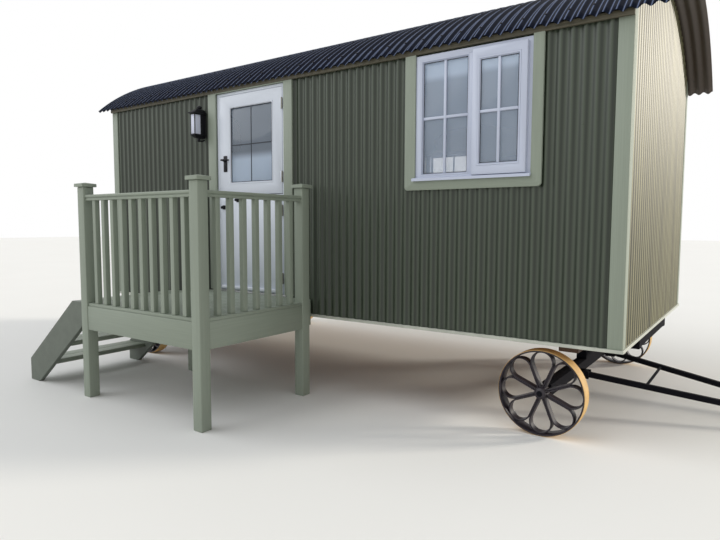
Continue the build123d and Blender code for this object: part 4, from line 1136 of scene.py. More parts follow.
class HUT_OT_door(Operator):
    """Build the stable door, its frame, glass and furniture"""

    bl_idname = "hut.door"
    bl_label = "Stable door"

    # Between a leaf and its frame, and how far the stop stands in from the jamb
    running_gap = 0.003
    stop = 0.012
    # The weather bar: its inset from the leaf's edges, its reach outwards, and the heights
    # of its foot and top above the leaf's foot
    weather_inset = 0.020
    weather_reach = 0.018
    weather_heights = (0.012, 0.042)
    # The handle's plate, which is a little narrower inside
    plate_half_outside = 0.023
    plate_half_inside = 0.020
    plate_thickness = 0.008
    plate_corner = 0.007
    # The lever: its height above the plate's foot, how far it stands off the face, and how
    # far it returns and droops at its tip
    lever_height = 0.110
    lever_length = 0.096
    lever_radius = 0.008
    lever_stand_off = 0.050
    lever_return = 0.012
    lever_droop = 0.004
    # Profiles of (distance, radius) for the roses outside and inside
    rose = ((0, 0.019), (0.010, 0.019), (0.013, 0.014), (0.038, 0.009), (0.046, 0.009))
    inner_rose = ((0, 0.019), (0.010, 0.019), (0.038, 0.009), (0.046, 0.009))
    # The bolts' square plates, and their round knobs' radius and distance from the plate
    bolt_plate_half = 0.020
    knob_radius = 0.014
    knob_distance = 0.0245
    # Thickness of the hinges' cover plates
    cover = 0.0022

    def execute(self, context):
        """Build the frame first, then the two leaves, then what is fixed to them."""
        self.frame_and_surround()
        self.leaves()
        self.handle()
        self.hinges()
        return {"FINISHED"}

    def frame_and_surround(self):
        """Jambs, head and stops in white, and the painted boards round them."""
        x, y, z = spans("door_frame")
        jamb = low("upper_door", 0) - x[0] - self.running_gap
        head = z[1] - high("upper_door", 2) - self.running_gap
        opening = (x[0] + jamb, x[1] - jamb)
        stop_y = (high("upper_door", 1) + self.running_gap, y[1])
        shapes = [
            bar((x[0], opening[0]), y, z),
            bar((opening[1], x[1]), y, z),
            bar(opening, y, (z[1] - head, z[1])),
            bar((opening[0], opening[0] + self.stop), stop_y, z),
            bar((opening[1] - self.stop, opening[1]), stop_y, z),
        ]
        piece("door_frame_white", shapes, finish("door_white"), "root", "white_door", "door_frame")
        outer, y, z = spans("door_surround")
        shapes = [
            bar((outer[0], x[0]), y, z),
            bar((x[1], outer[1]), y, z),
            bar(x, y, (high("door_frame", 2), z[1])),
        ]
        piece("door_surround_boards", shapes, finish("sage"), "root", "sage_paint", "door_surround")
        eased_copy(
            "door_sill_bar", "door_threshold", finish("aluminium"), "root",
            "threshold_metal", 0.003,
        )

    def leaves(self):
        """The glazed upper leaf with its beads, seal and bars, and the plain lower leaf."""
        s = sizes()
        face, back = span("upper_door", 1)
        light = front_box("upper_door_glass")
        section = eased_section(back - face, 0.03, 0.004)
        leaf = pane_ring(front_box("upper_door"), grown(light, s.bead), section, face)
        slope = [(0, 0.012), (0, -0.002), (0.5, -0.002), (1, 0.007), (1, 0.012)]
        beads = pane_ring(grown(light, s.bead), light, slope, face)
        piece(
            "upper_door_leaf", [leaf, beads], finish("door_white"), "root", "white_door",
            "upper_door",
        )
        seal_section = [(0, 0.014), (0, 0.0055), (1, 0.0055), (1, 0.014)]
        seal = pane_ring(grown(light, 0.001), grown(light, -s.seal), seal_section, face)
        middle_x, middle_z = sum(light[:2]) / 2, sum(light[2:]) / 2
        half = s.door_bar / 2
        bar_y = (face + 0.009, face + 0.013)
        bars = [
            bar((middle_x - half, middle_x + half), bar_y, light[2:], 0.001),
            bar(light[:2], (bar_y[0] + 0.0005, bar_y[1]), (middle_z - half, middle_z + half),
                0.001),
        ]
        piece("door_seal_and_bars", [seal, *bars], finish("seal"), "root", "white_door")
        pane = bar(light[:2], (face + 0.011, face + 0.035), light[2:], 0.001)
        piece("door_pane", [pane], finish("door_glass"), "root", "clear_glass",
              "upper_door_glass")
        x, y, z = spans("lower_door")
        lower = bar(x, y, z, 0.004)
        weather = bar((x[0] + self.weather_inset, x[1] - self.weather_inset),
                      (face - self.weather_reach, face + 0.002),
                      [z[0] + rise for rise in self.weather_heights], 0.006)
        piece(
            "lower_door_leaf", [lower, weather], finish("door_white"), "lower_door", "white_door",
            "lower_door",
        )

    def handle(self):
        """A lever handle on each side of the upper leaf, with a keyhole outside, and a knob
        on a plate for each bolt."""
        outside, inside = span("upper_door", 1)
        x = sum(span("door_handle", 0)) / 2
        z = low("door_handle", 2) + self.lever_height
        shapes = self.lever_on_plate(x, z, outside, -1, self.plate_half_outside, self.rose)
        keyhole = [(0, 0.009), (0.004, 0.009), (0.005, 0.006)]
        shapes.append(turned(keyhole, (x, outside - 0.007, z - 0.06), (0, -1, 0), steps=20))
        piece(
            "door_lever_handle", shapes, finish("black"), "root", "black_iron", "door_handle"
        )
        shapes = self.lever_on_plate(x, z, inside, 1, self.plate_half_inside, self.inner_rose)
        piece("door_inner_handle", shapes, finish("black"), "root", "black_iron")
        self.bolts(low("lower_door", 1))

    def lever_on_plate(self, x, z, face, out, plate_half, rose):
        """A long rounded plate, a turned rose and a lever, which is a round section carried
        along a bent line: the lever returns to the face with the cube of its length and
        droops with the square. out is -1 outside and 1 inside."""
        plate = bar((x - plate_half, x + plate_half), (face, face + out * self.plate_thickness),
                    span("door_handle", 2), self.plate_corner)
        turn = np.linspace(0, 2 * np.pi, 12, endpoint=False)
        section = self.lever_radius * np.stack([np.cos(turn), 0.8 * np.sin(turn)], axis=-1)
        reach = np.linspace(0, 1, 12)
        path = np.stack(
            [
                x - 0.012 + self.lever_length * reach,
                face + out * (self.lever_stand_off - self.lever_return * reach ** 3),
                z - self.lever_droop * reach ** 2,
            ],
            axis=-1,
        )
        return [
            plate,
            turned(rose, (x, face + out * 0.006, z), (0, out, 0), steps=24),
            carried(section, path, (0, 0, 1)),
        ]

    def bolts(self, face):
        """A turned knob on a small plate at each bolt. The knob is most of a ball."""
        x_span, z_span = span("lower_door_bolts", 0), span("lower_door_bolts", 2)
        half, knob = self.bolt_plate_half, self.knob_radius
        ball = np.radians(np.linspace(8, 150, 12))
        profile = [(0, 0.007), (0.010, 0.006)] + [
            (self.knob_distance - knob * np.cos(turn), knob * np.sin(turn)) for turn in ball
        ]
        shapes = []
        for x, z in ((x_span[0] + half, z_span[0] + half), (x_span[1] - half, z_span[1] - half)):
            shapes.append(bar((x - half, x + half), (face - 0.006, face),
                              (z - half, z + half), 0.003, along=1))
            shapes.append(turned(profile, (x, face - 0.004, z), (0, -1, 0), steps=24))
        piece(
            "lower_door_knobs", shapes, finish("black"), "lower_door", "black_iron",
            "lower_door_bolts",
        )

    def hinges(self):
        """Two knuckles on one pin at each hinge, the leaf's above the frame's, and white
        cover plates on the leaf and on the frame."""
        radius, plate, web, rise = 0.007, 0.028, 0.006, 0.001
        height = sizes().hinge
        pin_x = low("frame_hinges", 0) + radius
        pin_y = low("frame_hinges", 1) + radius
        face = low("upper_door", 1)
        knuckles, covers = [], []
        for node, body, name in (
            ("upper_hinges", "root", "upper_leaf_hinges"),
            ("lower_hinges", "lower_door", "lower_leaf_hinges"),
        ):
            z_low, z_high = span(node, 2)
            leaf_knuckles, leaf_covers = [], []
            for foot in (z_low, z_high - height):
                middle = foot + height / 2
                above = (middle + 0.0004, foot + height)
                below = (foot, middle)
                leaf_covers.append(bar((pin_x - plate, pin_x - 0.003), (face - self.cover, face),
                                       (foot, foot + height), 0.001))
                leaf_knuckles.append(self.knuckle(pin_x, pin_y, radius, above))
                leaf_knuckles.append(bar((pin_x - web, pin_x - 0.001), (pin_y, face),
                                         (above[0] + rise, above[1] - rise), 0.001))
                knuckles.append(self.knuckle(pin_x, pin_y, radius, below))
                knuckles.append(bar((pin_x + 0.001, pin_x + web), (pin_y, Y_FRONT),
                                    (below[0] + rise, below[1] - rise), 0.001))
                covers.append(bar((pin_x, pin_x + 0.025), (Y_FRONT - self.cover, Y_FRONT),
                                  (foot, foot + height), 0.001))
            piece(name, leaf_knuckles, finish("steel"), body, "hinge_steel", node)
            piece(name + "_covers", leaf_covers, finish("door_white"), body, "white_door")
        piece("frame_side_hinges", knuckles, finish("steel"), "root", "hinge_steel",
              "frame_hinges")
        piece("frame_side_covers", covers, finish("door_white"), "root", "white_door")

    def knuckle(self, x, y, radius, z_span):
        """One turned knuckle with a small ease at both ends."""
        height = z_span[1] - z_span[0]
        profile = [(0, radius - 0.001), (0.001, radius), (height - 0.001, radius),
                   (height, radius - 0.001)]
        return turned(profile, (x, y, z_span[0]), (0, 0, 1), steps=20)


class HUT_OT_windows(Operator):
    """Build the front window with its casement, bars and sill, and the small back window"""

    bl_idname = "hut.windows"
    bl_label = "Windows"

    # Widths of the front frame's members, and of its fixed light
    jamb = 0.058
    foot = 0.050
    head = 0.053
    mullion = 0.080
    light_width = 0.353
    # Widths of the opening sash's members
    stile = 0.060
    rail = 0.078
    # Depths behind the face of a light's bead, of its bars and of its pane
    fixed_depths = (0.020, (0.010, 0.024), (0.022, 0.044))
    sash_depths = (0.012, (0.004, 0.018), (0.014, 0.029))
    # The back window's frame, and the rounded lower corners of the front surround
    back_member = 0.060
    corner_radius = 0.028
    corner_steps = 9

    def execute(self, context):
        """Build each window from its outer frame inwards."""
        self.front_window()
        self.front_surround()
        self.back_window()
        return {"FINISHED"}

    def glazed(self, light, face, depths):
        """The bead, seal, bars and pane of one light, at their depths behind the face."""
        s = sizes()
        depth, bar_depths, pane_depths = depths
        slope = [(0, depth), (0, -0.001), (0.5, -0.001), (1, depth - 0.003), (1, depth)]
        seal_section = [(0, depth), (0, depth - 0.002), (1, depth - 0.002), (1, depth)]
        bead = pane_ring(grown(light, s.bead), light, slope, face)
        seal = pane_ring(grown(light, 0.001), grown(light, -s.seal), seal_section, face)
        bars = self.cross_bars(light, [face + behind for behind in bar_depths])
        pane = bar(light[:2], [face + behind for behind in pane_depths], light[2:], 0.001)
        return bead, seal, bars, pane

    def cross_bars(self, light, y_span):
        """One upright and one level bar through the middle of a light."""
        half = sizes().glazing_bar / 2
        x, z = sum(light[:2]) / 2, sum(light[2:]) / 2
        upright = bar((x - half, x + half), y_span, light[2:], 0.003)
        set_back = 0.0005
        level_y = (y_span[0] + set_back, y_span[1] - set_back)
        level = bar(light[:2], level_y, (z - half, z + half), 0.003)
        return [upright, level]

    def front_window(self):
        """A fixed light on the left and a proud casement on the right of a mullion."""
        s = sizes()
        face, back = span("window_frame", 1)
        outer, casement = front_box("window_frame"), front_box("window_casement")
        whole = (outer[0] + self.jamb, outer[1] - self.jamb,
                 outer[2] + self.foot, outer[3] - self.head)
        fixed = (whole[0], whole[0] + self.light_width, *whole[2:])
        proud = low("window_casement", 1)
        sash = (casement[0] + self.stile, casement[1] - self.stile,
                casement[2] + self.rail, casement[3] - self.rail)
        section = eased_section(back - face, 0.05, 0.003)
        fixed_bead, fixed_seal, fixed_bars, fixed_pane = self.glazed(
            fixed, face, self.fixed_depths
        )
        sash_bead, sash_seal, sash_bars, sash_pane = self.glazed(sash, proud, self.sash_depths)
        lap = s.bead - 0.001
        middle = (fixed[1] + lap, fixed[1] + self.mullion - lap)
        shapes = [
            pane_ring(outer, grown(whole, s.bead), section, face),
            bar(middle, (face, back), (whole[2] - s.bead, whole[3] + s.bead)),
            fixed_bead,
            *fixed_bars,
            self.sill(outer, face),
        ]
        piece("window_outer_frame", shapes, finish("white"), "root", "white_frame", "window_frame")
        shapes = [
            pane_ring(
                casement, grown(sash, s.bead), eased_section(face - proud, 0.06, 0.005), proud
            ),
            sash_bead,
            *sash_bars,
        ]
        piece(
            "window_opening_sash", shapes, finish("white"), "root", "white_frame",
            "window_casement",
        )
        piece("window_seals", [fixed_seal, sash_seal], finish("seal"), "root", "white_frame")
        piece(
            "window_panes", [fixed_pane, sash_pane], finish("glass"), "root", "clear_glass",
            "window_glass",
        )

    def sill(self, outer, face):
        """A sloping sill that stands out over the surround and runs past the left jamb: its
        side view is carried along the window."""
        nose = face - 0.034
        section = np.array([
            (face + 0.006, outer[2] + 0.022), (face - 0.002, outer[2] + 0.022),
            (nose + 0.003, outer[2] + 0.015), (nose, outer[2] + 0.012),
            (nose, outer[2] - 0.005), (nose + 0.005, outer[2] - 0.005),
            (nose + 0.009, outer[2]), (face + 0.006, outer[2]),
        ])
        ends = np.array([outer[0] - 0.016, outer[1] + 0.002])
        rings = np.zeros((2, len(section), 3))
        rings[..., 0] = ends[:, None]
        rings[..., 1:] = section[None]
        return skin(rings)

    def front_surround(self):
        """The painted boards round the window, with the two lower corners rounded: the
        outline's corners are quarter circles, and the front edge is eased."""
        corner, ease, steps = self.corner_radius, sizes().ease, self.corner_steps
        x, (y_front, y_back), z = spans("window_surround")
        hole = front_box("window_frame")
        left, right = (
            np.stack([middle + corner * np.cos(turn), z[0] + corner + corner * np.sin(turn)],
                     axis=-1)
            for middle, turn in (
                (x[0] + corner, np.radians(np.linspace(180, 270, steps))),
                (x[1] - corner, np.radians(np.linspace(270, 360, steps))),
            )
        )
        outer = np.concatenate([[(x[0], z[1])], left, right, [(x[1], z[1])]])
        inner = np.concatenate([
            [(hole[0], z[1])], np.tile((hole[0], hole[2]), (steps, 1)),
            np.tile((hole[1], hole[2]), (steps, 1)), [(hole[1], z[1])],
        ])
        # Keeps the points that share an inner corner just apart
        inner += np.linspace(0, MERGE_DISTANCE, len(inner))[:, None]
        inward = (inner - outer) / np.linalg.norm(inner - outer, axis=1, keepdims=True)
        rings = []
        for ring, y in (
            (outer, y_back), (outer, y_front + ease),
            (outer + 0.4 * ease * inward, y_front + 0.3 * ease),
            (outer + ease * inward, y_front), (inner, y_front), (inner, y_back),
        ):
            rings.append(np.stack([ring[:, 0], np.full(len(ring), y), ring[:, 1]], axis=-1))
        across = np.stack(rings, axis=1)
        lay = np.zeros(across.shape)
        strides = np.linalg.norm(np.diff(outer, axis=0), axis=1)
        lay[..., 0] = np.concatenate([[0], np.cumsum(strides)])[:, None]
        lay[..., 1] = np.linspace(0, 0.09, across.shape[1])[None, :]
        piece(
            "window_surround_boards", [skin(across, lay=lay)], finish("sage"), "root",
            "sage_paint", "window_surround",
        )

    def back_window(self):
        """A small fixed window of the same make, which faces +Y. It is built facing -Y and
        its depths are mirrored about the wall's face."""
        face = high("back_window_frame", 1)
        depth = face - low("back_window_frame", 1)
        outer = front_box("back_window_frame")
        light = grown(outer, -self.back_member)
        bead, seal, bars, pane = self.glazed(light, 0.0, self.fixed_depths)
        section = eased_section(depth, 0.05, 0.003)
        ring = pane_ring(outer, grown(light, sizes().bead), section, 0.0)
        seal, pane, *white = (
            changed(shape, lambda points: points * (1, -1, 1) + (0, face, 0))
            for shape in (seal, pane, ring, bead, *bars)
        )
        piece(
            "back_window_white", white, finish("white"), "root", "white_frame",
            "back_window_frame",
        )
        piece("back_window_seal", [seal], finish("seal"), "root", "white_frame")
        piece(
            "back_window_pane", [pane], finish("back_glass"), "root", "clear_glass",
            "back_window_glass",
        )
        x, y, z = spans("back_window_surround")
        boards = [
            bar((x[0], outer[0]), y, z), bar((outer[1], x[1]), y, z),
            bar(outer[:2], y, (z[0], outer[2])), bar(outer[:2], y, (outer[3], z[1])),
        ]
        piece(
            "back_surround_boards", boards, finish("sage"), "root", "sage_paint",
            "back_window_surround",
        )


class HUT_OT_lantern(Operator):
    """Build the wall lantern"""

    bl_idname = "hut.lantern"
    bl_label = "Wall lantern"

    # From the left edge of the node to the lantern's own middle line
    middle_x = 0.052
    # Half the width of the cage and of its posts, and how the glass sits in the cage
    cage_half = 0.028
    post_half = 0.004
    glass_inset = 0.005
    glass_drop = 0.011

    def execute(self, context):
        """A back plate and closed housing, a cage of slim posts with panes in front of it, a
        wide brim, a stepped cap with a blunt finial, and a funnel below on a scroll."""
        x = low("wall_lantern", 0) + self.middle_x
        front = low("lantern_glass", 1) - self.glass_inset
        back = high("lantern_glass", 1) + self.glass_inset
        foot, top = (z - self.glass_drop for z in span("lantern_glass", 2))
        shapes = [
            *self.cap_and_finial(x, front, top),
            *self.base_and_drop(x, front, foot),
            *self.cage_and_housing(x, front, back, foot, top),
        ]
        piece(
            "lantern_body", shapes, finish("black"), "root", "black_iron", "wall_lantern"
        )
        half = self.cage_half + 0.001
        panes = bar((x - half, x + half), (front + 0.002, back - 0.002),
                    (foot - 0.001, top + 0.001), 0.002, along=2)
        piece("lantern_panes", [panes], finish("frosted"), "root", "frosted_glass",
              "lantern_glass")
        return {"FINISHED"}

    def middle(self):
        """The depth of the lantern's own middle line."""
        return (low("wall_lantern", 1) + 2 * Y_FRONT) / 3

    def cap_and_finial(self, x, front, top):
        """A brim and a stepped cap over the cage, and a turned finial up to the node's top."""
        brim = low("wall_lantern", 1) - front
        cap = self.tower(x, front, top, [
            (-0.002, 0.032, -0.004), (0.010, 0.034, -0.006), (0.011, 0.050, brim),
            (0.018, 0.050, brim), (0.021, 0.036, 0.004), (0.034, 0.034, 0.008),
            (0.036, 0.030, 0.016), (0.046, 0.026, 0.026), (0.056, 0.012, 0.048),
        ])
        start = top + 0.056
        profile = [
            (0.0, 0.012), (0.006, 0.013), (0.010, 0.024), (0.018, 0.026), (0.026, 0.022),
            (0.031, 0.012), (high("wall_lantern", 2) - start, 0.004),
        ]
        return [cap, turned(profile, (x, self.middle(), start), (0, 0, 1), steps=24)]

    def base_and_drop(self, x, front, foot):
        """A stepped base under the cage, and a turned drop down to the node's foot."""
        base = self.tower(x, front, foot, [
            (-0.034, 0.018, 0.030), (-0.012, 0.030, 0.006), (-0.009, 0.038, -0.008),
            (-0.002, 0.038, -0.008), (0.003, 0.032, -0.003),
        ])
        lowest = low("wall_lantern", 2)
        profile = [
            (0.0, 0.004), (0.004, 0.014), (0.012, 0.018), (0.022, 0.013), (0.028, 0.016),
            (foot - 0.030 - lowest, 0.018),
        ]
        drop = turned(profile, (x, self.middle() - 0.012, lowest), (0, 0, 1), steps=24)
        return [base, drop]

    def cage_and_housing(self, x, front, back, foot, top):
        """Four posts, the plate on the wall, a scroll arm below and the closed housing. The
        arm is a round section carried along a quarter of an ellipse."""
        half, post = self.cage_half, self.post_half
        posts = [
            bar((corner_x - post, corner_x + post), (corner_y - post, corner_y + post),
                (foot, top), 0.001)
            for corner_x in (x - half, x + half)
            for corner_y in (front + post, back - post)
        ]
        plate = bar((x - 0.045, x + 0.036), (Y_FRONT - 0.014, Y_FRONT),
                    (foot - 0.026, top + 0.030), 0.005)
        turn = np.linspace(0, np.pi / 2, 10)
        path = np.stack([
            np.full(10, x), self.middle() + (Y_FRONT - self.middle()) * np.sin(turn),
            low("wall_lantern", 2) + 0.010 + 0.020 * (1 - np.cos(turn)),
        ], axis=-1)
        circle = np.linspace(0, 2 * np.pi, 10, endpoint=False)
        section = 0.007 * np.stack([np.cos(circle), np.sin(circle)], axis=-1)
        arm = carried(section, path, (1, 0, 0))
        housing = bar((x - half - post, x + half + post), (back - post, Y_FRONT - 0.010),
                      (foot - 0.006, top + 0.012), 0.003)
        return [*posts, plate, arm, housing]

    def tower(self, x, front, start, levels):
        """Rounded rectangles stacked upwards, which all reach back to the wall plate. Each
        level is (height above start, half width, distance behind front)."""
        back = Y_FRONT - 0.006
        rings = []
        for rise, half, behind in levels:
            depth = back - front - behind
            section = rounded_rectangle(2 * half, depth, 0.2 * half)
            rings.append(np.stack([x + section[:, 0], back - depth / 2 + section[:, 1],
                                   np.full(len(section), start + rise)], axis=-1))
        return skin(np.stack(rings))


class HUT_OT_wheels(Operator):
    """Build the four cast wheels with their looped petal spokes"""

    bl_idname = "hut.wheels"
    bl_label = "Wheels"

    tread_half = 0.055
    rim_depth = 0.014
    hub_radius = 0.040
    # A petal's strip, the radii of its two arcs outside, and how far they run into rim and hub
    strip = 0.010
    strip_depth = 0.060
    petal_radius = 0.079
    root_radius = 0.017
    into_rim = 0.004
    into_hub = 0.008

    def execute(self, context):
        """Build one wheel at each wheel node's own middle."""
        for node in ("front_left_wheel", "front_right_wheel", "rear_left_wheel",
                     "rear_right_wheel"):
            low_corner, high_corner = (np.array(corner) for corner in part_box(node))
            centre = (low_corner + high_corner) / 2
            radius = (high_corner[2] - low_corner[2]) / 2
            hub_half = (high_corner[1] - low_corner[1]) / 2
            outward = 1 if centre[1] > Y_MIDDLE else -1
            self.wheel(node, centre, radius, hub_half, outward)
        return {"FINISHED"}

    def petal_path(self, radius):
        """One petal's centre line in the wheel's plane: a wide arc near the rim and a small
        one at the hub, joined by their common tangents."""
        wide, root = self.petal_radius - self.strip / 2, self.root_radius - self.strip / 2
        wide_centre = radius - self.rim_depth + self.into_rim - self.petal_radius
        root_centre = self.hub_radius + self.root_radius - self.into_hub
        lean = np.pi / 2 + np.arcsin((wide - root) / (wide_centre - root_centre))
        outer = np.linspace(lean, -lean, 26)
        inner = np.linspace(-lean, lean - 2 * np.pi, 10)
        return np.concatenate([
            np.stack([wide_centre + wide * np.cos(outer), wide * np.sin(outer)], axis=-1),
            np.stack([root_centre + root * np.cos(inner), root * np.sin(inner)], axis=-1),
        ])

    def wheel(self, node, centre, radius, hub_half, outward):
        """Rim and hub are turned about the axle, and each petal's strip is carried round its
        closed centre line. The tread is a piece of its own, with the worn finish."""
        tread_half = self.tread_half
        axis = (0, outward, 0)
        rim_inner = radius - self.rim_depth
        rim = [
            (-tread_half + 0.002, radius - 0.003), (-tread_half, radius - 0.006),
            (-tread_half + 0.001, rim_inner + 0.002), (-tread_half + 0.004, rim_inner),
            (tread_half - 0.004, rim_inner), (tread_half - 0.001, rim_inner + 0.002),
            (tread_half, radius - 0.006), (tread_half - 0.002, radius - 0.003),
        ]
        hub = [
            (-hub_half, 0.030), (-hub_half + 0.004, 0.034), (-0.034, 0.036),
            (-0.030, self.hub_radius), (hub_half - 0.014, self.hub_radius),
            (hub_half - 0.010, self.hub_radius - 0.002), (hub_half - 0.005, 0.032),
            (hub_half - 0.001, 0.018), (hub_half, 0.004),
        ]
        shapes = [
            turned(rim, centre, axis, steps=96, closed=True),
            turned(hub, centre, axis, steps=32),
        ]
        flat = self.petal_path(radius)
        section = rounded_rectangle(self.strip_depth, self.strip, 0.0025, steps=2)
        count = sizes().petals
        for index in range(count):
            turn = 2 * np.pi * index / count
            along = flat[:, 0] * np.cos(turn) - flat[:, 1] * np.sin(turn)
            up = flat[:, 0] * np.sin(turn) + flat[:, 1] * np.cos(turn)
            path = centre + np.stack([along, np.zeros(len(flat)), up], axis=-1)
            shapes.append(carried(section, path, (0, 1, 0), closed=True))
        piece(node.replace("wheel", "spoked_wheel"), shapes, finish("iron"), node, "wheel_iron",
              node)
        tread = [
            (-tread_half + 0.001, radius - 0.0032), (-tread_half + 0.004, radius - 0.0005),
            (0, radius), (tread_half - 0.004, radius - 0.0005),
            (tread_half - 0.001, radius - 0.0032), (0, radius - 0.004),
        ]
        piece(
            node.replace("wheel", "tread"), [turned(tread, centre, axis, steps=96, closed=True)],
            finish("tread"), node, "wheel_iron",
        )


class HUT_OT_running_gear(Operator):
    """Finish the chassis, the axles, the turntable and the drawbar"""

    bl_idname = "hut.running_gear"
    bl_label = "Chassis, axles and drawbar"

    def execute(self, context):
        """Ease the edges of these steel and oak pieces."""
        for name, node, paint, body, slot, ease in (
            ("chassis_channels", "chassis_rails", "chassis", "root", "chassis_steel", 0.002),
            ("cross_bearers", "chassis_cross_members", "chassis", "root", "chassis_steel", 0.002),
            ("turntable_bolster", "turntable", "bolster", "root", "bolster_wood", 0.003),
            ("steering_axle", "front_axle", "chassis", "front_axle", "chassis_steel", 0.003),
            ("fixed_axle", "rear_axle", "chassis", "root", "chassis_steel", 0.003),
            ("towing_drawbar", "drawbar", "chassis", "drawbar", "chassis_steel", 0.002),
        ):
            eased_copy(name, node, finish(paint), body, slot, ease)
        return {"FINISHED"}


class HUT_OT_deck(Operator):
    """Build the deck's posts, boards, fascia and joists"""

    bl_idname = "hut.deck"
    bl_label = "Deck"

    # The pyramid on a post's cap, and the cap with it
    pyramid = 0.012
    cap = 0.036
    # How far the boards' outer edges lie behind the fascia, and the fascia's own boards
    set_back = 0.006
    fascia = 0.044
    fascia_inset = 0.004

    def execute(self, context):
        """Build the frame, then the boards, then the posts and their caps."""
        s = sizes()
        x, y = span("deck_boards", 0), span("deck_boards", 1)
        post_y = (low("front_balustrade", 1), high("side_balustrade", 1))
        line = (low("front_balustrade", 1) + high("front_balustrade", 1)) / 2
        post_starts_x = (x[0], x[1] - s.post)
        post_starts_y = (line - s.post / 2, post_y[1])
        self.posts(post_starts_x, post_starts_y)
        self.boards(x, y, post_starts_x, post_starts_y)
        self.frame_boards(x, post_starts_x, post_starts_y)
        eased_copy("deck_joist_timbers", "deck_joists", finish("joist"), "root",
                   "joist_wood", 0.002)
        return {"FINISHED"}

    def posts(self, starts_x, starts_y):
        """Square posts with eased edges, each under a plate with a low pyramid top."""
        s = sizes()
        cap_half = (high("deck_posts", 0) - low("deck_posts", 0) - (starts_x[1] - starts_x[0])) / 2
        top = high("deck_posts", 2)
        plate_top, post_top = top - self.pyramid, top - self.cap
        shapes = []
        for x in starts_x:
            for y in starts_y:
                shapes.append(bar((x, x + s.post), (y, y + s.post), (0, post_top), 0.006))
                middle = (x + s.post / 2, y + s.post / 2)
                rings = []
                for z, half in (
                    (post_top, cap_half - 0.001), (post_top + 0.001, cap_half),
                    (plate_top + 0.001, cap_half), (plate_top + 0.002, cap_half - 0.001),
                    (top - 0.0015, 0.012), (top, 0.004),
                ):
                    section = rounded_rectangle(2 * half, 2 * half, 0.0015)
                    rings.append(np.stack([middle[0] + section[:, 0], middle[1] + section[:, 1],
                                           np.full(len(section), z)], axis=-1))
                shapes.append(skin(np.stack(rings)))
        piece("deck_post_timbers", shapes, finish("sage"), "root", "deck_paint", "deck_posts",
              crease=30)

    def boards(self, x, y, starts_x, starts_y):
        """A border board between each pair of posts, and boards along the hut inside it."""
        s = sizes()
        z = span("deck_boards", 2)
        gap = s.board_gap
        inner_x = (starts_x[0] + s.post, starts_x[1])
        first, second = starts_y[0] + s.post, starts_y[1]
        outer_x = (x[0] + self.set_back, x[1] - self.set_back)
        shapes = [bar(inner_x, (y[0] + self.set_back, first - gap), z, 0.004)]
        for side in ((outer_x[0], inner_x[0] - gap), (inner_x[1] + gap, outer_x[1])):
            shapes.append(bar(side, (first, second), z, 0.004))
        count = round((y[1] - first) / s.board)
        width = (y[1] - first) / count
        for start in first + width * np.arange(count):
            shapes.append(bar(inner_x, (start, start + width - gap), z, 0.004))
        piece("deck_board_run", shapes, finish("deck"), "root", "deck_boards", "deck_boards")

    def frame_boards(self, x, starts_x, starts_y):
        """Fascia boards on three sides and the ledger at the wall."""
        post = sizes().post
        y, z = span("deck_fascia", 1), span("deck_fascia", 2)
        thickness, ease = self.fascia, 0.005
        between_x = (starts_x[0] + post, starts_x[1])
        between_y = (starts_y[0] + post, starts_y[1])
        left, right = x[0] + self.fascia_inset, x[1] - self.fascia_inset
        shapes = [
            bar(between_x, (y[0], y[0] + thickness), z, ease),
            bar((left, left + thickness), between_y, z, ease),
            bar((right - thickness, right), between_y, z, ease),
            bar(between_x, (y[1] - thickness, y[1]), z),
        ]
        piece("deck_fascia_boards", shapes, finish("sage"), "root", "deck_paint", "deck_fascia")


class HUT_OT_balustrades(Operator):
    """Build the two balustrades with their moulded handrails"""

    bl_idname = "hut.balustrades"
    bl_label = "Balustrades"

    # Half of the handrail's section, as shares of its half width and of its height, and how
    # far the balusters reach up into it
    moulding = (
        (-0.78, 0), (-0.80, 0.04), (-0.80, 0.36), (-0.70, 0.44), (-0.74, 0.52),
        (-0.97, 0.56), (-1, 0.62), (-1, 0.86), (-0.92, 0.96), (-0.6, 1),
    )
    rail_height = 0.047
    tenon = 0.004

    def execute(self, context):
        """Build the front run along X and the side run along Y."""
        s = sizes()
        self.run("front_balustrade", 0, s.front_balusters)
        self.run("side_balustrade", 1, s.side_balusters)
        return {"FINISHED"}

    def run(self, node, axis, count):
        """A handrail whose moulded section is carried between two posts, over evenly spaced
        square balusters."""
        s = sizes()
        across = 1 - axis
        ends, line = span(node, axis), sum(span(node, across)) / 2
        half = (high(node, across) - low(node, across)) / 2
        top = high(node, 2)
        height = self.rail_height
        left = np.array(self.moulding)
        moulding = np.concatenate([left, left[::-1] * (-1, 1)])
        rings = np.zeros((2, len(moulding), 3))
        rings[..., axis] = np.array(ends)[:, None]
        rings[..., across] = line + half * moulding[None, :, 0]
        rings[..., 2] = top - height + height * moulding[None, :, 1]
        lay = np.zeros(rings.shape)
        lay[..., 0] = rings[..., axis]
        lay[..., 1] = np.linspace(0, 0.2, len(moulding))[None, :]
        shapes = [skin(rings, lay=lay)]
        clear = (ends[1] - ends[0] - count * s.baluster) / (count + 1)
        starts = ends[0] + clear + np.arange(count) * (clear + s.baluster)
        for start in starts:
            reach = {axis: (start, start + s.baluster),
                     across: (line - s.baluster / 2, line + s.baluster / 2)}
            shapes.append(bar(reach[0], reach[1], (DECK_TOP, top - height + self.tenon), 0.003))
        piece(node + "_timbers", shapes, finish("sage"), "root", "deck_paint", node, crease=30)


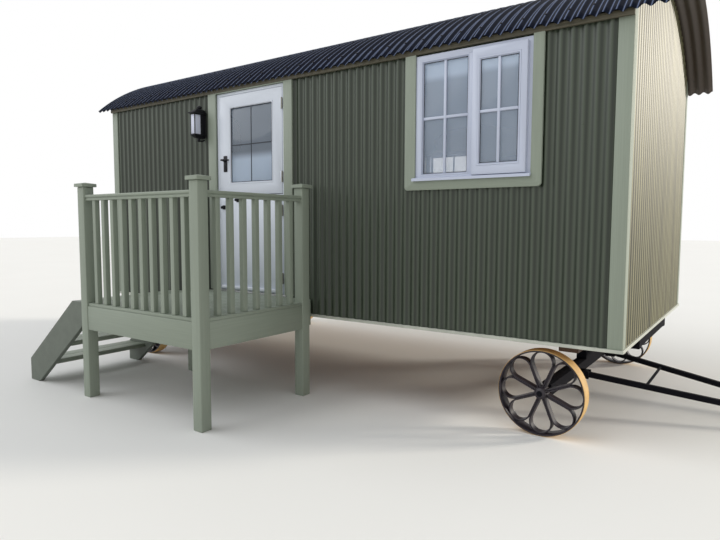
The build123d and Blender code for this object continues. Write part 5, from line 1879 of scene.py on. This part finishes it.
class HUT_OT_steps(Operator):
    """Build the steps at the end of the deck"""

    bl_idname = "hut.steps"
    bl_label = "Steps"

    risers = 4
    going = 0.255
    nosing = 0.020
    tread_thickness = 0.040
    # Width of the single board at the deck's own height
    top_board = 0.160

    def execute(self, context):
        """Ease the stringers, and lay two boards to each tread."""
        s = sizes()
        eased_copy("step_stringer_boards", "step_stringers", finish("stringer"), "root",
                   "deck_paint", 0.003)
        y = span("step_treads", 1)
        top_edge = high("step_treads", 0) - self.top_board
        shapes = [bar((top_edge, high("step_treads", 0)), y, span("deck_boards", 2), 0.004)]
        riser = DECK_TOP / self.risers
        for index in range(1, self.risers):
            front = top_edge - index * self.going
            back = front + self.going + self.nosing
            middle = (front + back) / 2
            top = DECK_TOP - index * riser
            z = (top - self.tread_thickness, top)
            shapes.append(bar((front, middle - s.board_gap / 2), y, z, 0.004))
            shapes.append(bar((middle + s.board_gap / 2, back), y, z, 0.004))
        piece("step_tread_boards", shapes, finish("deck"), "root", "deck_boards", "step_treads")
        return {"FINISHED"}


# Panel and registration


class HUT_PT_panel(Panel):
    """Lists the operators that build the hut"""

    bl_label = "Shepherds hut"
    bl_idname = "HUT_PT_panel"
    bl_space_type = "VIEW_3D"
    bl_region_type = "UI"
    bl_category = "Hut"

    def draw(self, context):
        """One button for each operator."""
        for operator in OPERATORS:
            self.layout.operator(operator.bl_idname)


OPERATORS = (
    HUT_OT_stage, HUT_OT_interior, HUT_OT_roof, HUT_OT_cladding, HUT_OT_trims, HUT_OT_door,
    HUT_OT_windows, HUT_OT_lantern, HUT_OT_wheels, HUT_OT_running_gear, HUT_OT_deck,
    HUT_OT_balustrades, HUT_OT_steps,
)
CLASSES = (HutSizes, HutColours, *OPERATORS, HUT_PT_panel)


def register():
    """Register the classes and hang the properties on the scene."""
    for entry in CLASSES:
        bpy.utils.register_class(entry)
    bpy.types.Scene.hut_sizes = PointerProperty(type=HutSizes)
    bpy.types.Scene.hut_colours = PointerProperty(type=HutColours)


def unregister():
    """Take the properties and classes away again."""
    del bpy.types.Scene.hut_colours
    del bpy.types.Scene.hut_sizes
    for entry in reversed(CLASSES):
        bpy.utils.unregister_class(entry)


def main():
    register()
    for operator in OPERATORS:
        group, name = operator.bl_idname.split(".")
        getattr(getattr(bpy.ops, group), name)()


if __name__ == "__main__":
    main()
